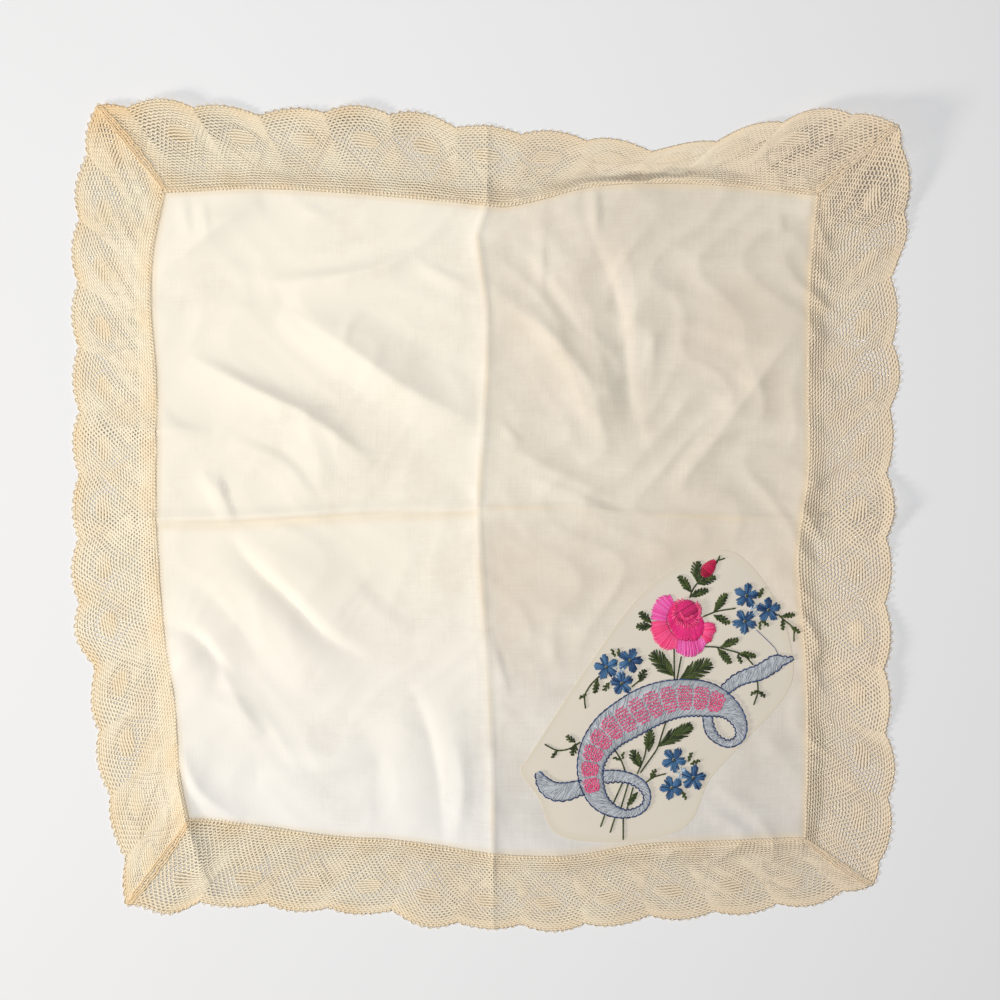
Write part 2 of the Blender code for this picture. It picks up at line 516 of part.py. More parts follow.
def build():
    for old in list(bpy.data.objects):
        bpy.data.objects.remove(old)
    ivory = material("ivory_ground", IVORY, 0.75)
    ecru = material("ecru_lace", ECRU, 0.85)
    cream = material("cream_patch", CREAM, 0.75)
    green = material("green_stitches", LEAF_GREEN, 0.5)
    blue = material("blue_stitches", FLOWER_BLUE, 0.45)
    grey = material("grey_blue_stitches", RIBBON_GREY, 0.5)

    sheet("panel", *panel_grid(), ivory)
    for side in SIDES:
        sheet(side.name, *lace_grid(side), ecru)

    patch_low = CLOTH + GAP
    slab("motif_patch", closed_curve(PATCH_OUTLINE, PATCH_STEPS), patch_low, patch_low + CLOTH, cream)
    low = patch_low + CLOTH + GAP
    high = low + STITCH
    for name, rows in (("ribbon_band", RIBBON_BAND), ("ribbon_tail_left", TAIL_LEFT),
                       ("ribbon_tail_right", TAIL_RIGHT)):
        slab(name, stroke_outline(rows, RIBBON_STEP), low, high, grey)

    slab("rose", rose_outline(), low, high, material("pink_stitches", ROSE_PINK, 0.4))
    cushion("rose_heart", ROSE_HEART, flower_outline(ROSE_HEART, petals=7, steps=28, waist=0.9),
            high + GAP, high + GAP + STITCH, material("deep_pink_stitches", DEEP_PINK, 0.4))
    cushion("bud", BUD, flower_outline(BUD, petals=2, steps=16, waist=0.75), low, high,
            material("crimson_stitches", CRIMSON, 0.4))
    for number, flower in enumerate(FLOWERS, 1):
        cushion(f"flower_{number}", flower, flower_outline(flower), low, high, blue)
    for sprig in SPRIGS:
        outline = sprig_outline(sprig) if sprig.leaves else leaf_outline(sprig)
        slab(sprig.name, outline, low, high, green)
    stand_on_origin()


build()
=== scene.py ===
import bpy
import numpy as np
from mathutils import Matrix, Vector


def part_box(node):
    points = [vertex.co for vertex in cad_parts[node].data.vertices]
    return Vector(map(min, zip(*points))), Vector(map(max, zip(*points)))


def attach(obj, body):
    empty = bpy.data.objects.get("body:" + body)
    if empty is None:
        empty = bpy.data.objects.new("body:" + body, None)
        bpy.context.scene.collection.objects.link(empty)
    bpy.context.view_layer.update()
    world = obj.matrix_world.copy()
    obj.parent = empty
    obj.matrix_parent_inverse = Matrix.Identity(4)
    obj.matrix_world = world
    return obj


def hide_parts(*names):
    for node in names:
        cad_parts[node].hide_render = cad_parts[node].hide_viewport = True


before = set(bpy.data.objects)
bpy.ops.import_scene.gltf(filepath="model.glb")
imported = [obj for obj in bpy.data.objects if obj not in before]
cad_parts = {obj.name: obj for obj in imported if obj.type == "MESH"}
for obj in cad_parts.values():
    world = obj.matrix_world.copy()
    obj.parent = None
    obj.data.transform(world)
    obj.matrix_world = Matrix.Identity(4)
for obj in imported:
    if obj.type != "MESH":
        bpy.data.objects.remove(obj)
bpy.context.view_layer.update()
mm = 0.001
draw = np.random.default_rng(27)    # the one source of chance, so each run is the same

# Folds, told as in the solids: kind, height, reach of the slope on the left and on the right of the
# path, whether it fades out at its ends, and the path. A ridge has its crest on the line, a facet is
# a ridge with flat sides, and a valley has its bottom there, with a near and a far reach a side.
mainFolds = [
    ("ridge", 0.8, 7, 7, False, [(-0.9, 150), (-0.9, 104.6), (-4.3, 93.9), (-0.9, 69.3), (-0.9, 45.7),
        (-3.9, 2.2), (-3.3, -15.0), (-0.2, -58.1), (1.1, -90.5), (1.1, -150)]),
    ("ridge", 0.8, 9, 9, False, [(-150, -2.2), (-91.2, -2.2), (-43.7, 0.5), (-3.9, 2.2), (23.7, 2.9),
        (50.7, 0.2), (104.6, -1.5), (150, 2.0)]),
    ("ridge", 0.8, 7, 7, False, [(-3.9, 2.2), (23.7, 2.9), (50.7, 0.2), (104.6, -1.5), (150, 2.0)]),
    ("ridge", 2.4, 18, 14, True, [(-69.0, 69.9), (-49.4, 57.8), (-30.2, 44.0), (-3.9, 30.5)]),
    ("ridge", 2.0, 9, 10, True, [(-101.0, 53.4), (-82.5, 44.0), (-60.6, 33.9), (-38.7, 17.0)]),
    ("valley", 2.5, (4.2, 30), (8.5, 24), True, [(-89.9, -3.5), (-83.5, -12.6), (-68.0, -27.5),
        (-54.5, -40.9), (-37.6, -50.0)]),
    ("valley", 1.8, (3.4, 20), (7.5, 18), True, [(-112.0, -36.6), (-100.3, -39.3), (-91.2, -48.7),
        (-86.0, -56.0)]),
    ("ridge", 1.1, 9, 9, True, [(-91.2, -48.7), (-84.1, -63.2), (-76.1, -74.3)]),
    ("ridge", 1.9, 20, 14, True, [(-0.2, 78.4), (10.2, 68.6), (19.3, 61.5), (28.1, 47.3), (34.5, 25.4)]),
    ("valley", 0.95, (4.0, 26), (12, 26), True, [(32.8, 114.0), (33.8, 94.5), (38.5, 84.4),
        (44.6, 65.9), (47.3, 38.9), (58.1, 7.9)]),
    ("ridge", 1.0, 9, 9, True, [(104.6, 64.2), (84.4, 37.2), (62.1, 6.9)]),
    ("ridge", 1.6, 9, 13, True, [(-76.7, 106.3), (-89.2, 98.9), (-101.0, 89.5), (-112.8, 81.0)]),
    ("ridge", 1.4, 9, 9, True, [(-79.1, 77.7), (-63.9, 78.4), (-31.9, 85.4), (-13.4, 97.9)]),
    ("ridge", 1.5, 8, 8, True, [(-104.4, -77.3), (-97.6, -92.5), (-82.8, -103.3)]),
    ("ridge", 1.3, 9, 10, True, [(-78.1, -87.5), (-60.6, -85.8), (-37.6, -83.1)]),
    ("valley", 1.1, (5.0, 20), (9, 22), True, [(-30.2, -51.4), (-21.8, -68.9), (-16.7, -92.5),
        (-15.7, -116)]),
    ("ridge", 1.6, 8, 8, True, [(-145.0, 29.5), (-120.0, 29.0), (-94.0, 28.1)]),
    ("ridge", 1.2, 9, 9, True, [(3.5, 25.4), (23.7, 13.6), (43.9, 5.2)]),
    ("ridge", 2.2, 8, 8, True, [(-106.0, -84.0), (-101.5, -104.0), (-92.0, -134.0)]),
]
# Where the edge stands off the table: a middle, a reach each way, and a height.
edgeLifts = [(138, 134, 62, 44, 10.0), (141, 2, 26, 20, 4.5), (140, -50, 24, 30, 4.0),
             (-108, 142, 46, 24, 3.5), (-46, 141, 30, 20, 2.5)]
calm = {"middle": (58, -61), "radius": 52, "fade": 16}    # the patch lies flat in here
crossing = 0.35     # where two folds cross, this much of the lower adds to the higher

# Finer creases, placed one by one, all of them facets: height, reach on the left and on the right,
# and path. The first is the worn groove beside the level crease, which the ground also darkens with painted
# shade.
groove = [(-128.0, -2.2), (-91.2, -2.2), (-43.7, 0.5), (-6.0, 2.0)]
fineCreases = [
    (-0.7, 1.1, 4.6, groove),
    (0.7, 3.4, 1.3, [(-128.0, -0.9), (-91.2, -0.9), (-43.7, 1.8), (-6.0, 3.3)]),
    # upper left quarter
    (0.9, 15, 9, [(-71.1, 70.3), (-54.7, 59.8), (-39.8, 50.1), (-21.9, 38.2), (-3.2, 30.7)]),
    (0.9, 3.2, 14, [(-101.1, 53.9), (-87.6, 47.2), (-74.2, 39.7), (-59.2, 32.2), (-48.8, 24.0),
        (-38.3, 17.3)]),
    (0.7, 2.5, 8, [(-87.6, 25.5), (-77.1, 21.8), (-68.2, 17.3), (-62.2, 9.8), (-58.5, 3.8)]),
    (0.7, 5, 10, [(-65.2, 33.7), (-57.7, 21.8), (-57.0, 6.8)]),
    (0.7, 1.8, 5, [(-92.1, 15.8), (-89.8, 6.8), (-85.4, -2.9)]),
    (0.5, 3, 4, [(-97.6, 15.3), (-89.2, 5.2)]),
    (0.5, 12, 9, [(-77.9, 103.9), (-92.1, 95.0), (-105.5, 83.8)]),
    (0.4, 2, 4, [(-103.3, 108.4), (-101.0, 93.5)]),
    (0.4, 1.5, 4, [(-96.6, 106.9), (-94.3, 93.5)]),
    (0.6, 3, 10, [(-76.4, 79.3), (-54.7, 80.5), (-39.8, 83.0), (-27.8, 89.0)]),
    (0.5, 4, 4, [(-65.2, 85.3), (-47.2, 90.5), (-30.8, 95.0), (-18.9, 101.7), (-3.9, 103.2)]),
    (0.35, 3, 3, [(-63.7, 103.9), (-53.2, 99.4)]),
    (0.5, 3, 4, [(-27.0, 87.5), (-17.4, 81.5), (-4.0, 75.5)]),
    (0.3, 2, 3, [(-41.3, 68.1), (-46.5, 65.1), (-48.8, 56.1)]),
    (0.6, 8, 12, [(-102.5, 71.1), (-87.6, 70.3), (-71.1, 70.3)]),
    (0.4, 4, 6, [(-114.5, 79.3), (-101.0, 79.3), (-84.6, 83.0), (-75.6, 81.5)]),
    (0.4, 3, 5, [(-113.0, 39.7), (-105.5, 30.0), (-97.0, 28.0)]),
    # upper right quarter
    (1.4, 10, 6, [(9.5, 74.1), (20.0, 62.1), (30.4, 48.7), (36.4, 36.7), (37.1, 23.3)]),
    (0.8, 12, 6, [(40.9, 98.0), (47.6, 81.5), (49.1, 66.6), (49.8, 48.7)]),
    (0.7, 7, 9, [(22.0, 88.0), (33.0, 70.0), (38.0, 50.0), (44.0, 26.0)]),
    (0.7, 2, 4, [(35.7, 111.0), (36.1, 95.0)]),
    (0.5, 2, 4, [(17.7, 97.0), (17.7, 72.6)]),
    (0.4, 14, 5, [(108.1, 71.1), (94.7, 51.6), (79.7, 32.2), (61.8, 6.8)]),
    (0.6, 2.5, 5, [(5.0, 15.8), (15.5, 12.0), (27.4, 7.6), (43.9, -0.7), (57.3, -5.1)]),
    (0.5, 1.5, 3, [(3.5, 32.2), (11.0, 23.3)]),
    (0.4, 2, 3, [(97.8, 102.3), (98.2, 93.5)]),
    (0.35, 3, 3, [(62.0, 5.0), (85.0, 6.2), (106.0, 5.0)]),
    (0.35, 3, 3, [(58.0, -5.5), (82.0, -7.0), (106.0, -5.5)]),
    # lower left quarter
    (0.9, 5, 14, [(-108.5, -66.4), (-92.1, -62.7), (-84.6, -64.9), (-77.1, -73.9)]),
    (0.7, 10, 5, [(-80.1, -76.9), (-65.2, -78.3), (-51.7, -81.3), (-36.8, -83.6)]),
    (0.6, 6, 12, [(-77.1, -86.6), (-62.2, -93.3), (-47.2, -96.3), (-33.8, -97.8)]),
    (0.4, 4, 8, [(-48.8, -20.1), (-30.8, -36.5), (-24.9, -38.0)]),
    (0.6, 4, 4, [(-12.5, -70.0), (-9.0, -92.0), (-12.0, -112.0)]),
    (0.5, 1.5, 5, [(-0.2, -39.5), (4.3, -52.9), (6.8, -63.1)]),
]
fineFolds = [("facet", height, 1.6, 1.6, False, crease[5])
             for height, crease in ((0.25, mainFolds[0]), (0.2, mainFolds[2]))]
fineFolds += [("facet", height, left, right, True, path) for height, left, right, path in fineCreases]
fineFactor = 1.2    # all fine creases are laid this much taller
crumpleHeight, crumpleMore = 0.26, 0.55    # on the left, and what the right half has on top
cockleHeight = 0.3
keptFolds = 0.45    # the share of their height that folds keep where the cloth has no slack


def smooth(knots, values, at):
    # cubic curve through the values at the knots, its slopes from the neighbours of each
    knots, values = np.asarray(knots, float), np.asarray(values, float)
    slopes = np.gradient(values, knots)
    i = np.clip(np.searchsorted(knots, at) - 1, 0, len(knots) - 2)
    span = knots[i + 1] - knots[i]
    q = (at - knots[i]) / span
    return ((2 * q**3 - 3 * q**2 + 1) * values[i] + (q**3 - 2 * q**2 + q) * span * slopes[i]
            + (3 * q**2 - 2 * q**3) * values[i + 1] + (q**3 - q**2) * span * slopes[i + 1])


def softStep(edge0, edge1, value):
    # nought below the first edge, one above the second, and a smooth S between them
    q = np.clip((value - edge0) / (edge1 - edge0), 0, 1)
    return q * q * (3 - 2 * q)


def signedDistance(x, y, path):
    # distance to a path, the side it lies on (1 left, -1 right), and the place from 0 to 1
    best, side, place = np.full(x.shape, np.inf), np.ones(x.shape), np.zeros(x.shape)
    path = np.asarray(path, float)
    lengths = np.hypot(*np.diff(path, axis=0).T)
    begun = 0.0
    for start, end, length in zip(path[:-1], path[1:], lengths):
        run = (end - start) / length
        ahead = np.clip((x - start[0]) * run[0] + (y - start[1]) * run[1], 0, length)
        left = (y - start[1]) * run[0] - (x - start[0]) * run[1]
        off = np.hypot(x - start[0] - run[0] * ahead, y - start[1] - run[1] * ahead)
        nearer = off < best
        best = np.where(nearer, off, best)
        side = np.where(nearer, np.where(left < 0, -1, 1), side)
        place = np.where(nearer, (begun + ahead) / lengths.sum(), place)
        begun += length
    return best, side, place


def foldHeight(fold, x, y):
    # ridge: square of one minus the part of the reach; facet: a straight slope; valley: from nought at
    # the line up a quarter of a sine to the peak, then down a long S to nought at the reach
    kind, height, left, right, ends, path = fold
    if ends and len(path) > 2:
        path = alongPath(path, np.linspace(0, 1, 3 * len(path)))
    off, side, place = signedDistance(x, y, path)
    if kind == "valley":
        peak, reach = (np.where(side > 0, one, other) for one, other in zip(left, right))
        profile = np.sin(np.pi / 2 * np.minimum(off / peak, 1)) * (1 - softStep(peak, reach, off))
    else:
        q = np.minimum(off / np.where(side > 0, left, right), 1)
        profile = (1 - q) ** 2 if kind == "ridge" else 1 - q
    taper = {"ridge": 0.7, "facet": 0.9, "valley": 1.4}[kind]
    fade = np.sin(np.pi * np.clip(place, 0, 1)) ** taper if ends else 1.0
    return height * profile * fade


def rise(x, y):
    # height of the folds: the highest plus part of the next, calmed round the patch
    height = np.zeros(np.shape(x))
    for fold in mainFolds:
        one = foldHeight(fold, x, y)
        height = np.maximum(height, one) + crossing * np.minimum(height, one)
    return height * patchCalm(x, y)


def edgeLift(x, y):
    # the height times the power one and a half of one minus the part of the reach, for each lift
    height = np.zeros(np.shape(x))
    for liftX, liftY, reachX, reachY, tall in edgeLifts:
        q = np.hypot((x - liftX) / reachX, (y - liftY) / reachY)
        height = height + tall * np.clip(1 - q, 0, 1) ** 1.5
    return height


def cockle(x, y):
    # slow uneven waves of a cloth that was washed and never ironed: a sum of four crossed sines
    waves = (np.sin(x * 0.071 + y * 0.043 + 1.3) + np.sin(y * 0.088 - x * 0.031 + 4.0)
             + 0.6 * np.sin(x * 0.19 - y * 0.13 + 0.4) + 0.4 * np.sin(x * 0.11 + y * 0.27 + 2.2))
    return waves / 6 + 0.5


def crumple(x, y):
    # a loose network of blunt creases: one less the size of two sines of sines, on lines that wander
    u = x * 0.19 + 1.6 * np.sin(y * 0.083 + 1.0) + 0.7 * np.sin(x * 0.051 - y * 0.12)
    v = y * 0.17 - 1.5 * np.sin(x * 0.071 + 2.0) + 0.6 * np.sin(y * 0.047 + x * 0.13)
    across, along = np.sin(u + 1.2 * np.sin(v)), np.sin(v * 1.3 - 0.9 * np.sin(u * 0.7))
    return 1 - 0.6 * np.abs(across) - 0.4 * np.abs(along)


def patchCalm(x, y):
    # nought where the patch lies, one away from it
    fromPatch = np.hypot(x - calm["middle"][0], y - calm["middle"][1])
    return np.clip((fromPatch - calm["radius"]) / calm["fade"], 0, 1)


def clothHeight(x, y, slack=1.0):
    # the lifted edges in full, and the folds with their fine creases, crumples and cockles, all lower
    # with less slack. Crumples are deeper on the right and end at the patch.
    height = rise(x, y)
    for fold in fineFolds:
        height = height + fineFactor * foldHeight(fold, x, y)
    outline = closedCurve(patchOutline, 32)
    off, side, _ = signedDistance(x, y, np.vstack([outline, outline[:1]]))
    beside = softStep(1, 9, np.where(side < 0, 0, off))
    crumpled = (crumpleHeight + crumpleMore * softStep(-5, 45, x)) * crumple(x, y) * beside
    height = height + slack * (crumpled + cockleHeight * cockle(x, y))
    return edgeLift(x, y) + np.maximum(height, 0) * (keptFolds + (1 - keptFolds) * slack)


# The four sides of the border. The seam is where the lace meets the ground, and the rim runs
# over the tips of its scallops. Each row is a place along the side and its distance across.
sides = {
    "lace_top": {
        "axis": 0, "notch": 10.5, "pitch": 22.0, "loose": 0.0,
        "seam": [(-110.1, 109.7), (-77.1, 111.0), (-50.4, 109.7), (-24.8, 107.7), (-4.0, 105.6),
            (4.5, 104.8), (14.0, 106.4), (35.1, 111.4), (50.7, 112.4), (85.4, 111.4), (110.6, 108.3)],
        "rim": [(-132.0, 137.3), (-120.2, 138.6), (-108.7, 139.0), (-79.8, 136.3), (-43.7, 137.0),
            (-22.8, 135.0), (-9.3, 131.8), (17.3, 129.4), (35.1, 127.6), (60.4, 124.2), (76.3, 127.6),
            (91.8, 131.9), (108.6, 135.3), (120.0, 135.0), (135.2, 128.9)]},
    "lace_right": {
        "axis": 1, "notch": -7.6, "pitch": 21.9, "loose": 0.06,
        "seam": [(108.3, 110.6), (72.6, 108.2), (45.7, 107.9), (12.0, 107.6), (0.8, 105.9),
            (-12.0, 104.5), (-31.5, 105.6), (-48.7, 106.9), (-74.3, 107.6), (-109.0, 106.6)],
        "rim": [(128.9, 135.2), (121.2, 138.3), (111.4, 140.0), (95.2, 140.3), (86.1, 137.6),
            (66.2, 136.9), (45.7, 137.6), (31.2, 135.8), (16.3, 135.2), (-17.7, 134.9), (-68.9, 134.4),
            (-82.4, 135.9), (-106.3, 134.6), (-116.0, 132.8), (-124.2, 128.8)]},
    "lace_bottom": {
        "axis": 0, "notch": 10.5, "pitch": 21.6, "loose": 0.03,
        "seam": [(-101.7, -102.6), (-80.4, -105.0), (-50.4, -109.0), (-32.3, -110.0), (-16.4, -112.1),
            (1.1, -114.7), (27.1, -115.4), (50.7, -111.7), (76.3, -110.4), (106.6, -109.0)],
        "rim": [(-122.2, -130.6), (-108.7, -133.6), (-97.0, -131.6), (-70.0, -132.4), (-54.5, -133.6),
            (-32.3, -134.8), (-22.8, -137.8), (-3.9, -138.5), (27.1, -139.4), (50.7, -136.5),
            (75.3, -134.8), (95.8, -132.5), (114.0, -129.6), (128.8, -124.2)]},
    "lace_left": {
        "axis": 1, "notch": -7.9, "pitch": 21.5, "loose": 0.0,
        "seam": [(109.7, -110.1), (88.8, -114.2), (76.0, -114.9), (46.3, -113.1), (-2.2, -113.1),
            (-42.0, -110.1), (-64.5, -106.7), (-88.5, -104.7), (-102.6, -101.7)],
        "rim": [(137.3, -132.0), (127.6, -135.6), (111.4, -138.7), (74.0, -140.2), (48.4, -139.8),
            (5.2, -139.8), (-28.5, -139.8), (-42.0, -138.4), (-50.4, -134.8), (-69.6, -133.4),
            (-92.5, -129.6), (-113.4, -124.6), (-130.6, -122.2)]},
}
for side in sides.values():
    side["seam"], side["rim"] = (np.array(sorted(side[key])) for key in ("seam", "rim"))
scallop = {"depth": 2.2, "roundness": 0.8, "cornerFade": 8.0}

patchOutline = [
    (82.7, -12.6), (96.1, -28.5), (102.0, -48.0), (99.5, -60.5), (86.0, -75.7), (74.0, -89.0),
    (67.8, -102.6), (58.0, -108.0), (38.2, -110.0), (22.3, -107.0), (16.6, -95.5), (10.5, -86.4),
    (13.9, -80.0), (32.1, -52.1), (50.7, -26.8), (67.5, -15.2)]


def closedCurve(points, steps):
    # smooth closed outline through the points
    loop = np.array([*points[-2:], *points, *points[:2]], float)
    knots = np.arange(-2, len(points) + 2)
    at = np.linspace(0, len(points), steps, endpoint=False)
    return np.column_stack([smooth(knots, column, at) for column in loop.T])


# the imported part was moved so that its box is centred: the patch's own box says by how much
tableShift = np.array(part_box("motif_patch")[0][:2]) / mm - closedCurve(patchOutline, 48).min(axis=0)


class nodeWire:    # one output of a shader node, which can be added, multiplied and so on
    def __init__(self, tree, socket=None):
        self.tree, self.socket = tree, socket

    def make(self, kind, settings=None, inputs=None, out=0):
        node = self.tree.nodes.new(kind)
        for key, value in (settings or {}).items():
            setattr(node, key, value)
        for key, value in (inputs or {}).items():
            if isinstance(value, nodeWire):
                self.tree.links.new(value.socket, node.inputs[key])
            else:
                node.inputs[key].default_value = value
        return nodeWire(self.tree, node.outputs[out])

    def maths(self, operation, *values):
        return self.make("ShaderNodeMath", {"operation": operation}, dict(enumerate(values)))

    def __add__(self, other):
        return self.maths("ADD", self, other)

    def __sub__(self, other):
        return self.maths("SUBTRACT", self, other)

    def __rsub__(self, other):
        return self.maths("SUBTRACT", other, self)

    def __mul__(self, other):
        return self.maths("MULTIPLY", self, other)

    __radd__, __rmul__ = __add__, __mul__

    def blend(self, first, second):    # this wire mixes two colours
        inputs = {0: self, 6: first, 7: second}
        return self.make("ShaderNodeMix", {"data_type": "RGBA"}, inputs, 2)


def linear(red, green, blue):
    # a colour as read from the photograph, 0 to 255, turned into light
    values = np.array([red, green, blue]) / 255
    light = np.where(values > 0.04045, ((values + 0.055) / 1.055) ** 2.4, values / 12.92)
    return (*light.tolist(), 1.0)


def newFinish(name, roughness, sheen=0.0):
    # an empty finish: its start for more nodes, and its shader
    finish = bpy.data.materials.new(name)
    finish.use_nodes = True
    shader = finish.node_tree.nodes["Principled BSDF"]
    shader.inputs["Roughness"].default_value = roughness
    shader.inputs["Sheen Weight"].default_value = sheen
    shader.inputs["Specular IOR Level"].default_value = 0.3
    return finish, nodeWire(finish.node_tree), shader


def connect(shader, socket, wire):
    wire.tree.links.new(wire.socket, shader.inputs[socket])


def relief(shader, height, strength):
    # a bump of a tenth of a millimetre
    inputs = {"Strength": strength, "Distance": 0.1 * mm, "Height": height}
    connect(shader, "Normal", height.make("ShaderNodeBump", None, inputs))


def noise(place, scale, detail, roughness=0.5):
    inputs = {0: place, "Scale": scale, "Detail": detail, "Roughness": roughness}
    return place.make("ShaderNodeTexNoise", None, inputs)


def drawnOut(place, across, along, detail):
    # noise pulled out into threads, by its scales across and along them
    return noise(place.make("ShaderNodeMapping", None, {0: place, "Scale": (across, along, 1)}), 1.0, detail)


def clamped(value):
    return value.make("ShaderNodeClamp", None, {0: value})


def axisOf(vector, number):
    return vector.make("ShaderNodeSeparateXYZ", None, {0: vector}, number)


def coloursOf(settings, *keys):
    return (linear(*settings[key]) for key in keys)


def groundFinish():
    # fine ivory lawn with painted shade: darker to the right, a step darker right of the upright crease, and
    # cooler and darker towards the viewer; beiger in slow clouds with rosy drifts, yellowed where the tone
    # says so (stains, and painted shade on the creases), with sparse slubs both ways
    finish, start, shader = newFinish("ivoryLawn", 0.72, 0.12)
    place = start.make("ShaderNodeTexCoord", out=3)
    weave = start.make("ShaderNodeUVMap", {"uv_map": "cloth"})
    stainAndShade = start.make("ShaderNodeAttribute", {"attribute_name": "tone"}, out=2)
    light, shade, blush, lowLight, lowShade, stainedAndShaded = coloursOf(
        ground, "light", "shade", "blush", "lowLight", "lowShade", "stainAndShade")
    across = axisOf(place, 0)
    threads = drawnOut(weave, 2400, 60, 2.0) + drawnOut(weave, 60, 2400, 2.0)
    clouds = noise(place, 22.0, 9.0, 0.72)
    # painted shade: the right half a step darker, and the whole darker the further right; the clouds and
    # slubs are the lawn's own mottle
    shadedRightHalf = clamped(across * 90 + 0.6)
    shadeAndMottle = clamped(across * 2.8 + 0.14 + shadedRightHalf * 0.44 + (clouds - 0.5) * 1.9 + (threads - 1) * 0.3)
    drifts = clamped((noise(place, 13.0, 2.0) - 0.45) * 3) * 0.4 * shadeAndMottle
    colour = drifts.blend(shadeAndMottle.blend(light, shade), blush)
    # painted shade: cooler and darker towards the viewer
    coolShadeTowardViewer = clamped(axisOf(place, 1) * -9 - 0.15)
    colour = coolShadeTowardViewer.blend(colour, shadeAndMottle.blend(lowLight, lowShade))
    # the tone's yellowing: a stained hem and wear, with painted shade on the creases and in the groove
    connect(shader, "Base Color", stainAndShade.blend(colour, stainedAndShaded))
    relief(shader, threads, 0.3)
    return finish


def laceFinish():
    # cream cotton thread, browner where the tone says that it is worn, doubled or shaded, and duller to the
    # right in painted shade
    finish, start, shader = newFinish("ecruThread", 0.85, 0.1)
    place = start.make("ShaderNodeTexCoord", out=3)
    tone = start.make("ShaderNodeAttribute", {"attribute_name": "tone"}, out=2)
    cream, tan, rightShade = coloursOf(lace, "cream", "tan", "rightShade")
    clouds = noise(place, 45.0, 3.0) - 0.5
    colour = clamped(tone + clouds * 0.7).blend(cream, tan)
    # painted shade: the thread duller the further right
    rightwardShade = clamped(axisOf(place, 0) * 3.4 + 0.3 + clouds * 0.8)
    connect(shader, "Base Color", rightwardShade.blend(colour, rightShade))
    around = axisOf(start.make("ShaderNodeUVMap", {"uv_map": "cloth"}), 0)
    relief(shader, around.maths("SINE", around * 22) * 0.5 + noise(place, 5000.0, 1.0), 0.4)
    return finish


def patchFinish():
    # the applied cloth, a touch warmer at its turned rim
    finish, start, shader = newFinish("creamPatch", 0.75, 0.1)
    place = start.make("ShaderNodeTexCoord", out=3)
    turned = start.make("ShaderNodeAttribute", {"attribute_name": "tone"}, out=2)
    light, shade, rim = coloursOf(patch, "light", "shade", "rim")
    connect(shader, "Base Color", turned.blend(noise(place, 30.0, 4.0).blend(light, shade), rim))
    relief(shader, noise(place, 2600.0, 1.0), 0.2)
    return finish


# Floss colours, the dark and the light end of each
flosses = {
    "magenta": ((236, 44, 150), (255, 136, 214)), "coral": ((240, 34, 108), (255, 104, 164)),
    "deepPink": ((166, 4, 76), (248, 48, 140)), "crimson": ((150, 0, 45), (232, 26, 96)),
    "seedPink": ((226, 44, 112), (252, 128, 174)), "olive": ((34, 46, 30), (110, 118, 66)),
    "blue": ((18, 52, 98), (84, 134, 180)), "paleBlue": ((110, 158, 200), (214, 228, 238)),
    "green": ((22, 38, 12), (86, 104, 44)), "grey": ((150, 158, 172), (202, 208, 214)),
    "navy": ((18, 40, 92), (54, 90, 150)),
}


def flossFinish(name):
    # stranded silk: each stitch has a tone of its own, and fine filaments run along it
    finish, start, shader = newFinish(name + "Floss", 0.42, 0.15)
    dark, light = coloursOf(flosses[name], 0, 1)
    tone = start.make("ShaderNodeAttribute", {"attribute_name": "tone"}, out=2)
    filaments = drawnOut(start.make("ShaderNodeUVMap", {"uv_map": "cloth"}), 14, 0.6, 1.0)
    connect(shader, "Base Color", clamped(tone + (filaments - 0.5) * 0.5).blend(dark, light))
    relief(shader, filaments, 0.5)
    return finish


floss = {name: flossFinish(name) for name in flosses}


def makePiece(name, points, quads, finish, nodes, uv=None, tone=None):
    # arrays in the plan's millimetres become a smooth mesh in metres that rides on the root body
    mesh = bpy.data.meshes.new(name)
    placed = (points + [*tableShift, 0]) * mm
    mesh.vertices.add(len(placed))
    mesh.vertices.foreach_set("co", placed.astype("f").ravel())
    mesh.loops.add(quads.size)
    mesh.loops.foreach_set("vertex_index", quads.astype("i").ravel())
    mesh.polygons.add(len(quads))
    mesh.polygons.foreach_set("loop_start", np.arange(0, quads.size, 4, dtype="i"))
    mesh.update(calc_edges=True)
    mesh.shade_smooth()
    if uv is not None:
        layer = mesh.uv_layers.new(name="cloth")
        layer.data.foreach_set("uv", uv[quads.ravel()].astype("f").ravel())
    if tone is not None:
        mesh.attributes.new("tone", "FLOAT", "POINT").data.foreach_set("value", tone.astype("f").ravel())
    mesh.materials.append(finish)
    piece = bpy.data.objects.new(name, mesh)
    bpy.context.scene.collection.objects.link(piece)
    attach(piece, "root")
    if nodes:
        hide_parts(*nodes)
    return piece


def gridFaces(index):
    # a face for each four neighbours in a grid of point numbers
    corners = [index[:-1, :-1], index[:-1, 1:], index[1:, 1:], index[1:, :-1]]
    return np.stack(corners, axis=-1).reshape(-1, 4)


def closedSheet(x, y, under, over):
    # a grid of plan points with an underside and a top, walled round its edge
    rows, columns = x.shape
    count = rows * columns
    index = np.arange(count).reshape(rows, columns)
    top = gridFaces(index)
    rim = np.concatenate([index[0, :-1], index[:-1, -1], index[-1, :0:-1], index[:0:-1, 0]])
    following = np.roll(rim, -1)
    walls = np.column_stack([rim, following, following + count, rim + count])
    points = np.vstack([np.column_stack([x.ravel(), y.ravel(), z.ravel()]) for z in (under, over)])
    return points, np.vstack([top[:, ::-1], top + count, walls])


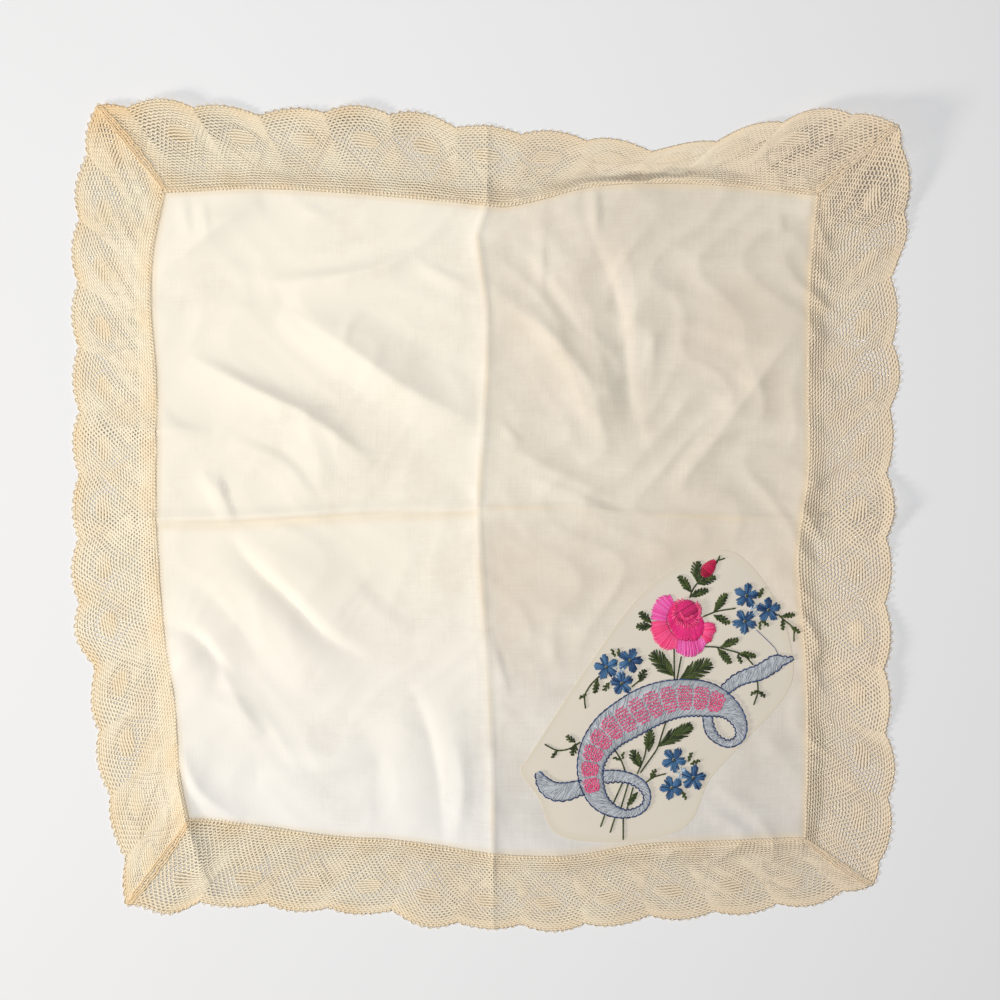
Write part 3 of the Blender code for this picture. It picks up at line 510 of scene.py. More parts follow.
def tubes(centre, halfWidth, halfHeight):
    # many four-sided tubes at once, each along its own path: a diamond at each point, the half width to
    # the sides and the half height up and down, capped at both ends
    run = np.gradient(centre, axis=1)
    side = np.stack([-run[..., 1], run[..., 0], np.zeros(run.shape[:2])], axis=-1)
    side /= np.maximum(np.linalg.norm(side, axis=-1, keepdims=True), 1e-9)
    side *= halfWidth[..., None]
    up = halfHeight[..., None] * [0, 0, 1]
    rings = np.stack([centre + side, centre + up, centre - side, centre - up], axis=2)
    paths, stations = centre.shape[:2]
    index = np.arange(paths * stations * 4).reshape(paths, stations, 4)
    turned = np.roll(index, -1, axis=2)
    walls = np.stack([index[:, :-1], turned[:, :-1], turned[:, 1:], index[:, 1:]], axis=-1).reshape(-1, 4)
    quads = np.vstack([walls, index[:, 0, ::-1], index[:, -1]])
    across = np.broadcast_to(np.array([0, 0.5, 1, 0.5]), index.shape)
    along = np.broadcast_to(np.linspace(0, 1, stations)[None, :, None], index.shape)
    return rings.reshape(-1, 3), quads, np.column_stack([across.ravel(), along.ravel()])


def worked(x, y, z, wide, tall, tone):
    # tubes along rows of places, each with its own tone: points, faces, flat places and tones
    wide, tall, tone = (np.broadcast_to(value, x.shape) for value in (wide, tall, tone))
    return *tubes(np.stack([x, y, z], axis=-1), wide, tall), np.repeat(tone.ravel(), 4)


def joined(parts):
    # several such sets as one
    points, quads, uv, tone = zip(*parts)
    first = np.cumsum([0] + [len(some) for some in points])
    quads = np.vstack([some + number for some, number in zip(quads, first)])
    return np.vstack(points), quads, np.vstack(uv), np.concatenate(tone)


# The ground: one closed sheet of thin lawn over the folds
ground = {
    "cells": 206, "thickness": 0.22, "sit": 0.12, "hemWidth": 3.2,
    # light and shade are the lawn as lit and in painted shade to the right; lowLight and lowShade are it in
    # painted cooler shade towards the viewer; the stain colour serves both stains and painted crease shade
    "light": (250, 243, 229), "shade": (221, 211, 195), "stainAndShade": (232, 208, 166),
    "blush": (232, 208, 186), "lowLight": (246, 245, 243), "lowShade": (209, 206, 202),
    "flat": (0.225, 0.228),
}


def seamPoint(side, part):
    # a place on one side's seam, by the part of the way along it from low to high
    rows = side["seam"]
    along = rows[0, 0] + (rows[-1, 0] - rows[0, 0]) * part
    out = smooth(rows[:, 0], rows[:, 1], along)
    return np.array([along, out] if side["axis"] == 0 else [out, along])


def groundGrid(cells):
    # plan points blended between the four seams, the middle lines drawn on to the cross of creases
    part = np.linspace(0, 1, cells + 1)
    u, v = np.meshgrid(part, part)
    top, right, bottom, left = sides.values()
    corners = [seamPoint(side, np.float64(end)) for side in (bottom, top) for end in (0, 1)]
    weights = ((1 - u) * (1 - v), u * (1 - v), (1 - u) * v, u * v)
    fromCorners = sum(weight * corner[:, None, None] for weight, corner in zip(weights, corners))
    x, y = ((1 - v) * seamPoint(bottom, u) + v * seamPoint(top, u)
            + (1 - u) * seamPoint(left, v) + u * seamPoint(right, v) - fromCorners)
    middle = cells // 2
    upright, level = np.array(mainFolds[0][5]), np.array(mainFolds[1][5])
    pullX = np.interp(-y[:, middle], -upright[:, 1], upright[:, 0]) - x[:, middle]
    pullY = np.interp(x[middle], level[:, 0], level[:, 1]) - y[middle]
    nearX, nearY = 1 - abs(2 * u - 1), 1 - abs(2 * v - 1)
    inside = (nearX > 0) & (nearY > 0)
    return x + pullX[:, None] * nearX * inside, y + pullY[None, :] * nearY * inside, u, v


def makeGround():
    # the grid raised by the height of the cloth, yellowed at the hem, where it falls off by the power
    # of e, darker on the creases with wear and painted shade, and with painted shade in the groove beside
    # the level one
    x, y, u, v = groundGrid(ground["cells"])
    under = clothHeight(x, y) + ground["sit"]
    points, quads = closedSheet(x, y, under, under + ground["thickness"])
    width, length = (size / mm for size in ground["flat"])
    fromEdge = np.minimum(np.minimum(u, 1 - u) * width, np.minimum(v, 1 - v) * length)
    hem = ground["hemWidth"]
    stainAndShade = 0.5 * np.exp(-fromEdge / 1.3) + 0.2 * (1 - softStep(hem - 0.5, hem, fromEdge))
    # the two main creases darker: partly wear, partly painted shade in the crease
    for crease in mainFolds[:2]:
        creaseWearAndShade = 0.32 * (1 - softStep(0.3, 1.4, signedDistance(x, y, crease[5])[0]))
        stainAndShade = np.maximum(stainAndShade, creaseWearAndShade * (0.55 + 0.45 * np.sin(x * 0.11 + y * 0.17)))
    # painted shade in the groove beside the level crease, on its lower side
    off, side, _ = signedDistance(x, y, groove)
    stainAndShade = np.maximum(stainAndShade, 0.3 * (side < 0) * (1 - softStep(0.8, 4.6, off)))
    uv = np.column_stack([u.ravel() * width * mm, v.ravel() * length * mm])
    piece = makePiece("ivory_ground", points, quads, groundFinish(), ["panel"],
                      np.vstack([uv, uv]), np.tile(stainAndShade.ravel(), 2))


# The lace: threads worked row by row into a net of small meshes, closer where the pattern is solid.
# A stain is a place, two reaches between which it fades, and a strength.
lace = {
    "wave": 1.65, "width": 26.0, "rowGap": 0.85, "swing": 0.27, "sit": 0.04, "weave": 0.02, "roll": 0.33,
    "heading": 4.6, "headingRows": 6, "border": 2.2, "borderRows": 4, "stations": 4,
    "net": 0.5, "solid": 0.54, "open": 0.38, "halfHeight": 0.06,
    "oval": (4.6, 2.6), "ovalAt": 0.63, "ring": 1.55, "chevron": (0.74, 0.22), "chevronWidth": 1.3,
    "whipPitch": 1.5, "picotPitch": 2.8, "picotReach": 1.1, "picotThread": 0.13,
    # the third colour is the thread in painted shade on the right
    "cream": (255, 243, 217), "tan": (249, 216, 166), "rightShade": (240, 223, 200),
    "cords": (-0.4, 0.6, 1.9, 3.0), "cordHalf": (0.24, 0.192),
    "stains": [(-128, 130, 2, 22, 0.3), (126, 118, 2, 26, 0.35), (135.2, 89.1, 1, 4.5, 0.6)],
}


def lacePlan(side, along, t):
    # from the place along the rim and the part of the way out, a blend of the seam and the scalloped rim
    rim = side["rim"]
    low, high = rim[[0, -1], 0]
    onSeam = seamPoint(side, np.clip((along - low) / (high - low), 0, 1))
    seamAlong, seamOut = onSeam if side["axis"] == 0 else onSeam[::-1]
    notch = 1 - np.abs(np.sin(np.pi * (along - side["notch"]) / side["pitch"])) ** scallop["roundness"]
    fade = np.clip(np.minimum(along - low, high - along) / scallop["cornerFade"], 0, 1)
    rimOut = smooth(rim[:, 0], rim[:, 1], along) - np.sign(rim[0, 1]) * scallop["depth"] * notch * fade
    alongOut = seamAlong * (1 - t) + along * t
    out = seamOut * (1 - t) + rimOut * t
    return (alongOut, out) if side["axis"] == 0 else (out, alongOut)


def threadHalfWidth(side, along, t):
    # close net, with a solid oval in each scallop ringed by larger holes, a chevron of larger holes
    # that runs from the notches round the ovals, and a firm heading and border
    width = lace["width"]
    turn = (along - side["notch"]) / side["pitch"] % 1
    oval = np.hypot((turn - 0.5) * side["pitch"] / lace["oval"][0],
                    (t - lace["ovalAt"]) * width / lace["oval"][1])
    solid = 1 - softStep(0.8, 1.1, oval)
    ring = softStep(1.05, 1.2, oval) * (1 - softStep(lace["ring"], lace["ring"] + 0.25, oval))
    outer, inner = lace["chevron"]
    line = inner + (outer - inner) * abs(2 * turn - 1)
    chevron = 1 - softStep(0.6, 1.4, abs(t - line) * width / lace["chevronWidth"])
    row = 1 - softStep(0.5, 1.2, abs(t - 0.235) * width)
    low, high = side["rim"][[0, -1], 0]
    fromMitre = np.minimum(along - low, high - along)
    gathered = softStep(1.5, 2.5, fromMitre) * (1 - softStep(4.5, 6, fromMitre))
    holes = np.maximum(np.maximum(ring, chevron), np.maximum(0.6 * row, 0.9 * gathered))
    firm = np.maximum(softStep(0.9, 0.93, t), 0.3 * (1 - softStep(0.13, 0.18, t)))
    uneven = 0.05 * np.sin(along * 0.9 + t * 31) * np.sin(along * 0.37 - t * 17)
    uneven = uneven + 0.04 * np.sin(along * 0.13 + t * 5)
    net = lace["net"] - side["loose"]
    half = net + uneven + (lace["open"] - net) * holes
    return half + (lace["solid"] - half) * np.maximum(solid, firm), holes * (1 - firm), solid


def laceTone(side, along, t, x, y):
    # browner at the rim, the seam and the mitred corners and where old stains lie, and to the right as
    # painted shade
    low, high = side["rim"][[0, -1], 0]
    corner = np.minimum(along - low, high - along)
    tone = 0.06 + 0.3 * softStep(0.82, 1.0, t) + 0.18 * (1 - softStep(0.08, 0.2, t))
    tone = tone + 0.2 * (1 - softStep(0, 12, corner))
    for stainX, stainY, near, far, strength in lace["stains"]:
        tone = tone + strength * (1 - softStep(near, far, np.hypot(x - stainX, y - stainY)))
    # the rise in tone to the right is painted shade
    return tone + 0.12 * softStep(-40, 120, x) + 0.14 * np.sin(along * 0.29) * np.sin(t * 7 + along * 0.05)


def laceLift(t):
    # the net lies low, and its heading rolls up over the edge of the ground
    return lace["sit"] + lace["roll"] * (1 - softStep(0, 0.2, t))


def laceSlack(t):
    # all of the cloth's slack at the seam, and little of it further out
    return 1 - 0.85 * softStep(0.03, 0.4, t)


def seamStitches(side, low, high):
    # short slanting stitches that whip the heading to the ground
    along = np.arange(low + 1.2, high - 1.2, lace["whipPitch"])[:, None] + np.array([0, 0.15, 0.35, 0.5])
    t = np.broadcast_to(np.array([-1.3, -0.9, 0.3, 0.7]) / lace["width"], along.shape)
    x, y = lacePlan(side, along, t)
    z = clothHeight(x, y) + laceLift(0) + np.array([0, 0.14, 0.18, 0.02])
    thick = np.array([0.1, 0.15, 0.15, 0.1])
    return worked(x, y, z, thick, thick, 0.3)


def mitreCords(side, end, inward):
    # cords that gather two strips along a mitre, from the ground's corner to the outer one
    t = np.linspace(0.01, 0.99, 48)
    offset = np.array(lace["cords"])[:, None]
    spread = 0.3 + 0.7 * np.sin(np.pi * t) ** 0.5
    along = end + inward * offset * spread + 0.2 * np.sin(t * 37 + offset * 5)
    x, y = lacePlan(side, along, np.broadcast_to(t, along.shape))
    z = clothHeight(x, y, laceSlack(t)) + laceLift(t) + lace["halfHeight"] + 0.1
    return worked(x, y, z, *lace["cordHalf"], 0.7)


def picots(side, low, high):
    # small loops of thread beyond the rim
    middles = np.arange(low + 1.5, high - 1.5, lace["picotPitch"])
    aside = np.array([-0.85, -0.6, 0.0, 0.6, 0.85])
    beyond = np.array([-0.3, 0.75, 1.0, 0.75, -0.3]) * lace["picotReach"] / lace["width"]
    along, t = np.broadcast_arrays(middles[:, None] + aside, 1 + beyond)
    x, y = lacePlan(side, along, t)
    z = clothHeight(x, y, laceSlack(1)) + lace["sit"] + 0.08
    return worked(x, y, z, lace["picotThread"], lace["picotThread"], laceTone(side, along, t, x, y))


def makeLace(name):
    # rows of waving thread from the heading to the border, each half a wave on from the last, so that
    # they meet and part by turns: the wave is a clipped sine
    side, width = sides[name], lace["width"]
    first, last = side["rim"][[0, -1], 0]
    low, high = first - 0.3, last + 0.3
    netRows = int((width - lace["heading"] - lace["border"]) / lace["rowGap"])
    rowAt = np.concatenate([
        np.linspace(-0.5, lace["heading"], lace["headingRows"], endpoint=False),
        np.linspace(lace["heading"], width - lace["border"], netRows, endpoint=False),
        np.linspace(width - lace["border"], width, lace["borderRows"])])[:, None] / width
    steps = int((high - low) / lace["wave"] * lace["stations"])
    along = np.broadcast_to(np.linspace(low, high, steps), (len(rowAt), steps))
    phase = 2 * np.pi * (np.arange(steps) + 0.5) / lace["stations"] + np.pi * np.arange(len(rowAt))[:, None]
    wander = 0.25 * np.sin(along * 0.21 + rowAt * 9) + 0.2 * np.sin(along * 0.57 - rowAt * 14)
    t = rowAt + wander / width * np.sin(np.pi * rowAt)
    half, holes, solid = threadHalfWidth(side, along, t)
    reach = np.gradient(rowAt, axis=0) * lace["swing"] * (0.6 + 0.55 * holes - 0.35 * solid)
    t = t + np.clip(1.5 * np.sin(phase), -1, 1) * reach
    x, y = lacePlan(side, along, t)
    z = clothHeight(x, y, laceSlack(t)) + laceLift(t) + lace["weave"] * np.cos(phase)
    net = worked(x, y, z, half, lace["halfHeight"], laceTone(side, along, t, x, y) + 0.2 * solid)
    parts = [net, picots(side, low, high), seamStitches(side, low, high)]
    if side["axis"] == 0:
        parts += [mitreCords(side, first, 1), mitreCords(side, last, -1)]
    points, quads, uv, tone = joined(parts)
    piece = makePiece("net_" + name, points, quads, ecruThread, [name], uv, tone)
    outer, inner = last - first, np.ptp(side["seam"][:, 0])
    width * mm * (outer + inner) / 2 * mm


# The patch: a thin sheet that lies on the ground, turned down all round
patch = {
    "rings": 26, "around": 160, "edge": 0.42, "crown": 0.66, "thickness": 0.1, "slope": 12.0,
    "light": (230, 222, 208), "shade": (218, 210, 197), "rim": (222, 212, 194),
    "flat": (0.0921, 0.0981),
}


def patchTop(x, y):
    # up from the edge over the slope to the crown, by the distance to the outline
    outline = closedCurve(patchOutline, 48)
    off, side, _ = signedDistance(x, y, np.vstack([outline, outline[:1]]))
    up = softStep(0, patch["slope"], np.where(side < 0, off, 0))
    return patch["edge"] + (patch["crown"] - patch["edge"]) * up + cockleHeight * cockle(x, y)


def makePatch():
    # the top and underside are rings from the middle out to the outline, closer together near the edge
    outline = closedCurve(patchOutline, patch["around"])
    middle = outline.mean(axis=0)
    part = np.append(np.linspace(0, 0.99, patch["rings"] - 2) ** 0.6, [0.998, 1.0])
    ring = np.vstack([outline, outline[:1]])
    x, y = np.moveaxis(middle + (ring[None] - middle) * np.maximum(part, 0.002)[:, None, None], 2, 0)
    x, y = x[:, ::-1], y[:, ::-1]
    over = patchTop(x, y)
    count = x.size
    index = np.arange(count).reshape(x.shape)
    index[:, -1] = index[:, 0]
    top = gridFaces(index)[:, [0, 3, 2, 1]]
    rimUnder = index[-1, :-1]
    rimNext = np.roll(rimUnder, -1)
    walls = np.column_stack([rimUnder, rimNext, rimNext + count, rimUnder + count])
    # the hub is closed by pairs of spokes on to one another
    hub = index[0, :-1]
    pairs = len(hub) // 2
    near, far = hub[:pairs], hub[::-1][:pairs]
    hubQuads = np.column_stack([near[:-1], near[1:], far[1:], far[:-1]])
    points = np.vstack([np.column_stack([x.ravel(), y.ravel(), z.ravel()])
                        for z in (over - patch["thickness"], over)])
    quads = np.vstack([top[:, ::-1], top + count, walls, hubQuads[:, ::-1], hubQuads + count])
    rim = np.broadcast_to(softStep(0.94, 0.99, part)[:, None], x.shape)
    piece = makePiece("cream_patch", points, quads, patchFinish(), ["motif_patch"],
                      None, np.tile(rim.ravel(), 2))


# Stitches. A batch holds the start and end of each, its half width, how high it is laid over
# the patch, how far it bows to its left, and its tone from 0, dark, to 1, light.
stitch = {
    "parts": (0, 0.12, 0.5, 0.88, 1), "fullness": (0.45, 0.9, 1, 0.9, 0.45), "arch": (0, 0.75, 1, 0.75, 0),
    "flatness": 0.85,
}


def batch(start, end, half, layer=0.0, bow=0.0, tone=0.5, spread=0.25):
    start, end = np.atleast_2d(start).astype(float), np.atleast_2d(end).astype(float)
    count = len(start)
    tones = np.clip(tone + spread * draw.uniform(-1, 1, count), 0, 1)
    fill = [np.broadcast_to(np.asarray(value, float), (count,)) for value in (half, layer, bow)]
    return np.column_stack([start, end, *fill, tones])


def makeStitches(name, finish, slot, nodes, *batches):
    # each stitch is an arched tube, thinner at its ends, where it goes down into the cloth
    every = np.vstack(batches)
    start, end = every[:, None, 0:2], every[:, None, 2:4]
    half, layer, bow, tone = (every[:, column, None] for column in (4, 5, 6, 7))
    part = np.array(stitch["parts"])[None, :]
    run = end - start
    left = np.stack([-run[..., 1], run[..., 0]], axis=-1)
    left = left / np.maximum(np.linalg.norm(run, axis=-1, keepdims=True), 1e-6)
    plan = start + run * part[..., None] + left * (bow * 4 * part * (1 - part))[..., None]
    wide = half * np.array(stitch["fullness"])
    x, y = plan[..., 0], plan[..., 1]
    z = patchTop(x, y) + layer + half * np.array(stitch["arch"])
    points, quads, uv, tones = worked(x, y, z, wide, wide * stitch["flatness"], tone)
    makePiece(name, points, quads, finish, nodes, uv, tones)


def alongPath(path, places):
    # points at even places, 0 to 1, along a smooth path through the given points, all columns alike
    path = np.asarray(path, float)
    length = np.concatenate([[0], np.cumsum(np.hypot(*np.diff(path[:, :2], axis=0).T))])
    at = np.asarray(places) * length[-1]
    if len(path) == 2:
        return np.column_stack([np.interp(at, length, column) for column in path.T])
    return np.column_stack([smooth(length, column, at) for column in path.T])


def pathLength(path):
    return np.hypot(*np.diff(np.asarray(path, float)[:, :2], axis=0).T).sum()


def satin(inner, outer, gap, half, **more):
    # stitches laid side by side between two edges, a gap apart along the longer one
    count = int(max(pathLength(inner), pathLength(outer)) / gap) + 1
    places = np.clip(np.linspace(0, 1, count) + draw.uniform(-0.2, 0.2, count) / count, 0, 1)
    start, end = alongPath(inner, places), alongPath(outer, places)
    uneven = draw.uniform(-0.25, 0.25, (count, 1))
    reach = (end - start) / np.maximum(np.linalg.norm(end - start, axis=1, keepdims=True), 1e-6)
    return batch(start, end + reach * uneven, half, **more)


def backStitch(path, length, half, **more):
    # stitches end to end along a path, each a little over the one before
    count = max(1, int(round(pathLength(path) / length)))
    points = alongPath(path, np.linspace(0, 1, count + 1))
    over = (points[1:] - points[:-1]) * 0.12
    return batch(points[:-1] - over, points[1:] + over, half, **more)


def leafStitches(root, tip, half, gap=0.5, **more):
    # fishbone: from the midrib each stitch slants forward to the edge, by turns to the left and right
    root, tip = np.array(root, float), np.array(tip, float)
    axis = tip - root
    length = np.hypot(*axis)
    left = np.array([-axis[1], axis[0]]) / length
    count = max(4, int(length / gap))
    at = np.linspace(0.0, 0.9, count)
    reach = half * np.sin(np.pi * np.clip(at + 0.22, 0, 1)) ** 0.6 * draw.uniform(0.8, 1.12, count)
    hand = np.where(np.arange(count) % 2, 1, -1)
    start = root + axis * at[:, None]
    end = root + axis * np.clip(at + 0.36, 0, 1.03)[:, None] + left * (reach * hand)[:, None]
    return batch(start, end, 0.36, bow=-0.2 * hand, **more)


# The rose: petals of satin stitch round a deep cup, as edge lines from their inner to outer ends
rose = {
    "gap": 0.5, "half": 0.31, "heart": (66.3, -32.6), "cup": 4.4, "ringStitches": 36,
    "cupEdge": [(62.3, -28.6), (60.3, -31.6), (59.9, -35.5), (61.1, -38.8), (63.3, -41.6), (66.3, -42.2),
                (69.7, -42.0), (71.6, -39.5), (72.2, -36.6)],
    "petals": [
        ("magenta", 0.0, [(62.1, -29.8), (60.2, -33.1), (59.7, -35.5)],
         [(60.6, -26.6), (56.9, -27.5), (54.8, -30.8), (54.3, -34.8)]),
        ("coral", 0.05, [(59.7, -35.5), (61.1, -38.8), (63.2, -41.2)],
         [(54.2, -35.8), (54.2, -38.8), (56.4, -43.5), (60.2, -45.4), (62.9, -44.6)]),
        ("magenta", 0.0, [(63.3, -41.4), (66.3, -41.8), (69.7, -41.6), (71.8, -40.7)],
         [(62.8, -46.0), (65.4, -47.3), (68.7, -47.5), (71.5, -45.9), (72.6, -43.6)]),
        ("coral", 0.05, [(70.9, -36.9), (71.5, -38.8), (71.3, -40.6)],
         [(73.6, -35.9), (75.8, -36.6), (76.3, -38.6), (75.2, -40.5), (75.0, -42.1), (72.9, -43.1)]),
    ],
}


def rays(angle):
    # unit directions, a row for each angle in radians
    return np.column_stack([np.cos(angle), np.sin(angle)])


def arc(middle, radius, first, last, steps=12):
    # points on a circle from the first to the last angle, in degrees
    return middle + radius * rays(np.radians(np.linspace(first, last, steps)))


def acrossRows(middle, rows, half, tilt, thick, **more):
    # parallel stitches at a tilt in degrees, each at its own distance aside and with its own half length
    run, left = rays(np.radians([tilt, tilt + 90]))
    at = np.array(middle) + rows[:, None] * left
    return batch(at - run * half[:, None], at + run * half[:, None], thick, **more)


def makeRose():
    # outer petals, then the cup round the heart, the heart's slanting rows, and a ragged ring over both
    for colour in ("magenta", "coral"):
        laid = [satin(inner, outer, rose["gap"], rose["half"], layer=layer, spread=0.35)
                for shade, layer, inner, outer in rose["petals"] if shade == colour]
        makeStitches("rose_" + colour, floss[colour], "rose_thread", ["rose"], *laid)
    heart, cup = rose["heart"], rose["cup"]
    zone = satin(arc(heart, cup * 0.8, 120, 345), rose["cupEdge"], 0.42, 0.3, layer=0.25, bow=0.4,
                 tone=0.75, spread=0.3)
    rows = np.linspace(-cup, cup, 22)
    half = np.sqrt(np.maximum(cup**2 - rows**2, 0.3))
    core = acrossRows(heart, rows, half, 32, 0.26, layer=0.7, tone=0.45, spread=0.45)
    makeStitches("rose_cup", floss["deepPink"], "deep_rose_thread", ["rose_heart"], zone, core)
    count = rose["ringStitches"]
    ringAt = np.radians(np.linspace(105, 400, count) + draw.uniform(-3, 3, count))
    around, slant = rays(ringAt), rays(ringAt + 0.16)
    near = cup - 0.7 + draw.uniform(-0.4, 0.3, (count, 1))
    far = cup + 0.7 + draw.uniform(-0.3, 0.5, (count, 1))
    ring = batch(heart + around * near, heart + slant * far, 0.27, 0.8, tone=0.6, spread=0.4)
    tips = heart + slant * (2.6 + draw.uniform(-0.3, 0.3, (count, 1)))
    inner = batch(heart + around * 1.5, tips, 0.22, 0.95, tone=0.45)
    makeStitches("rose_ring", floss["coral"], "rose_thread", [], ring, inner[8:27])


def makeBud():
    # a slanting egg, its blunt end down and to the left, of crimson stitches across it
    across = np.linspace(-3.1, 3.1, 12)
    half = 2.25 * np.sqrt(1 - (across / 3.5) ** 2) * (1 - 0.08 * across)
    laid = acrossRows((73.7, -17.7), across, half, -38, 0.34, layer=0.35, tone=0.55, spread=0.45)
    makeStitches("crimson_bud", floss["crimson"], "crimson_thread", ["bud"], laid)


# Forget-me-not flowers: middle, reach of the petals, turn of the first in degrees
flowers = [(86.4, -27.0, 4.3, 80), (93.8, -31.8, 4.3, 20), (85.8, -35.6, 4.2, 50), (47.2, -48.7, 4.3, 70),
           (39.2, -51.0, 4.3, 30), (44.4, -56.4, 4.0, 95), (61.9, -82.1, 4.3, 60), (68.5, -88.2, 4.4, 10),
           (61.2, -91.5, 4.1, 40)]


def clusterStitches():
    # short pale stitches where three flowers meet
    middles = np.repeat([(88.8, -31.9), (43.4, -51.8), (64.2, -86.6)], 11, axis=0)
    middles = middles + draw.uniform(-1.9, 1.9, middles.shape)
    run = rays(draw.uniform(0, np.pi, len(middles))) * draw.uniform(0.5, 1.0, (len(middles), 1))
    return batch(middles - run, middles + run, 0.24, 0.25, tone=0.55, spread=0.45)


def makeFlower(number, x, y, reach, turn):
    # five petals, each a block of five strands side by side, the inner ones longer, with dark lines between
    beside = np.tile([-1.2, -0.62, 0.0, 0.6, 1.2], 5)[:, None]
    long = np.tile([0.84, 0.98, 1.04, 0.98, 0.85], 5) * draw.uniform(0.95, 1.04, 25)
    angle = np.radians(turn + np.repeat(np.arange(5) * 72, 5) + draw.uniform(-3, 3, 25))
    ray, aside = rays(angle), rays(angle + np.pi / 2) * beside
    middle = np.array([x, y])
    tips = middle + ray * (reach * long)[:, None] + aside
    petals = batch(middle + ray * 0.5 + aside * 0.35, tips, 0.4, 0.1, tone=0.42, spread=0.45)
    ray = rays(np.radians(np.arange(5) * 72 + turn + 36))
    lines = batch(middle + ray * 0.5, middle + ray * 1.7, 0.13, 0.42, tone=0.1, spread=0.1)
    makeStitches(f"forget_me_not_{number}", floss["blue"], "blue_thread",
                 [f"flower_{number}"], petals, lines)
    return batch(middle - ray[:3] * 0.45, middle + ray[:3] * 0.45, 0.26, 0.75, tone=0.3)


# Sprigs: stems as paths, and leaves as root, tip and half width
sprigs = {
    "sprig_bud": ([[(67.3, -27.6), (68.2, -25.0), (69.7, -22.9)], [(76.3, -16.1), (77.4, -13.6)],
        [(76.4, -15.2), (79.1, -14.4)]], [(67.8, -26.0, 63.8, -20.4, 1.5),
        (67.2, -27.2, 73.3, -25.0, 1.4), (69.9, -23.0, 69.9, -15.6, 2.2),
        (69.9, -22.9, 75.8, -20.6, 1.7)]),
    "sprig_right": ([[(72.0, -33.9), (75.8, -32.4), (82.6, -31.2)]], [(75.3, -32.4, 79.6, -26.4, 1.5),
        (75.3, -33.4, 80.6, -36.2, 1.4)]),
    "sprig_end": ([[(97.2, -33.4), (99.4, -35.5), (102.0, -37.6), (102.3, -42.3)]],
        [(98.0, -33.9, 102.5, -33.4, 1.0), (98.6, -34.8, 98.6, -38.4, 0.9),
        (101.3, -37.1, 104.2, -39.4, 0.9)]),
    "sprig_middle": ([[(72.5, -44.1), (75.8, -44.2), (80.6, -45.3), (85.3, -46.9), (88.6, -50.2)]],
        [(77.5, -44.2, 83.5, -41.7, 1.4), (76.7, -44.6, 81.0, -49.6, 1.5),
        (83.4, -46.4, 89.4, -47.2, 1.3), (83.4, -46.8, 84.6, -49.6, 0.9)]),
    "sprig_foot_left": ([[(62.0, -45.0), (62.1, -55.0)]], [(62.0, -54.2, 54.6, -46.2, 2.9)]),
    "sprig_foot_right": ([[(64.4, -47.5), (63.0, -55.0)]], [(63.8, -54.9, 74.4, -49.6, 3.2)]),
    "sprig_rose_left_1": ([], [(54.3, -36.2, 50.5, -32.6, 1.5)]),
    "sprig_rose_left_2": ([], [(54.5, -37.3, 49.4, -37.4, 1.5)]),
    "sprig_cluster": ([[(47.8, -57.6), (50.2, -55.6)]], [(50.2, -56.0, 52.2, -51.9, 1.5)]),
    "sprig_left": ([[(37.0, -54.0), (34.6, -56.2), (31.9, -60.9), (32.2, -64.8)]],
        [(36.4, -55.0, 35.2, -59.6, 1.2), (40.4, -56.2, 38.2, -58.8, 1.1),
        (32.6, -60.2, 30.2, -61.4, 0.7)]),
    "sprig_tail": ([[(90.0, -55.6), (90.2, -59.0), (88.8, -63.6)]], [(90.3, -58.9, 92.5, -61.0, 0.9),
        (90.1, -58.9, 87.8, -60.2, 0.8)]),
    "sprig_arch": ([[(59.3, -69.1), (57.8, -73.8), (56.4, -78.1), (53.6, -82.3), (50.7, -86.4)],
        [(52.8, -73.8), (52.2, -80.4), (49.6, -86.8)]], [(56.4, -77.6, 67.8, -70.6, 2.5),
        (53.3, -79.5, 53.9, -72.2, 1.9), (50.7, -84.9, 47.9, -79.0, 1.8)]),
    "sprig_inner": ([[(41.8, -78.4), (44.1, -82.1), (45.5, -85.8)]], [(44.1, -82.2, 41.6, -81.4, 0.6),
        (44.6, -81.9, 44.9, -79.6, 0.6)]),
    "sprig_far_left": ([[(30.4, -76.2), (26.6, -78.5), (22.8, -79.0), (18.6, -77.0)]],
        [(28.7, -76.4, 25.8, -74.2, 1.2), (29.0, -76.6, 27.6, -80.6, 1.4),
        (22.8, -79.0, 20.9, -81.4, 0.7)]),
    "sprig_lower": ([[(52.4, -89.8), (55.0, -88.0), (59.2, -86.8)]], [(53.8, -88.8, 55.8, -85.4, 1.0)]),
    "stem_end_1": ([[(38.6, -100.9), (37.3, -104.6)]], []),
    "stem_end_2": ([[(42.0, -101.9), (40.5, -106.6)]], []),
    "stem_end_3": ([[(44.9, -101.9), (44.9, -109.0)]], []),
    "stems_in_loop": ([[(44.6, -89.9), (41.6, -96.6)], [(46.6, -89.9), (44.1, -98.4)], [(48.2, -91.4),
        (46.0, -99.2)]], [(49.8, -93.0, 46.5, -97.2, 1.1)]),
}
# small leaves that peep out between the flowers, with no solid of their own
strayLeaves = [(42.2, -47.6, 41.0, -45.0, 0.7), (43.2, -47.4, 43.4, -44.9, 0.7),
    (90.4, -27.8, 91.9, -24.6, 0.9), (91.2, -35.2, 93.8, -37.0, 0.8), (91.0, -35.6, 90.8, -38.2, 0.6),
    (66.6, -82.8, 67.9, -79.8, 0.8), (67.4, -83.6, 70.6, -82.4, 0.8), (64.6, -92.4, 66.0, -95.4, 0.8)]


def leavesOf(rows, **more):
    return [leafStitches(row[:2], row[2:4], row[4], **more) for row in rows]


def makeSprig(name, stems, leaves):
    laid = [backStitch(stem, 1.7, 0.28, layer=0.08, tone=0.35) for stem in stems]
    laid += leavesOf(leaves, layer=0.12, tone=0.45, spread=0.4)
    makeStitches("stitched_" + name, floss["green"], "green_thread", [name], *laid)


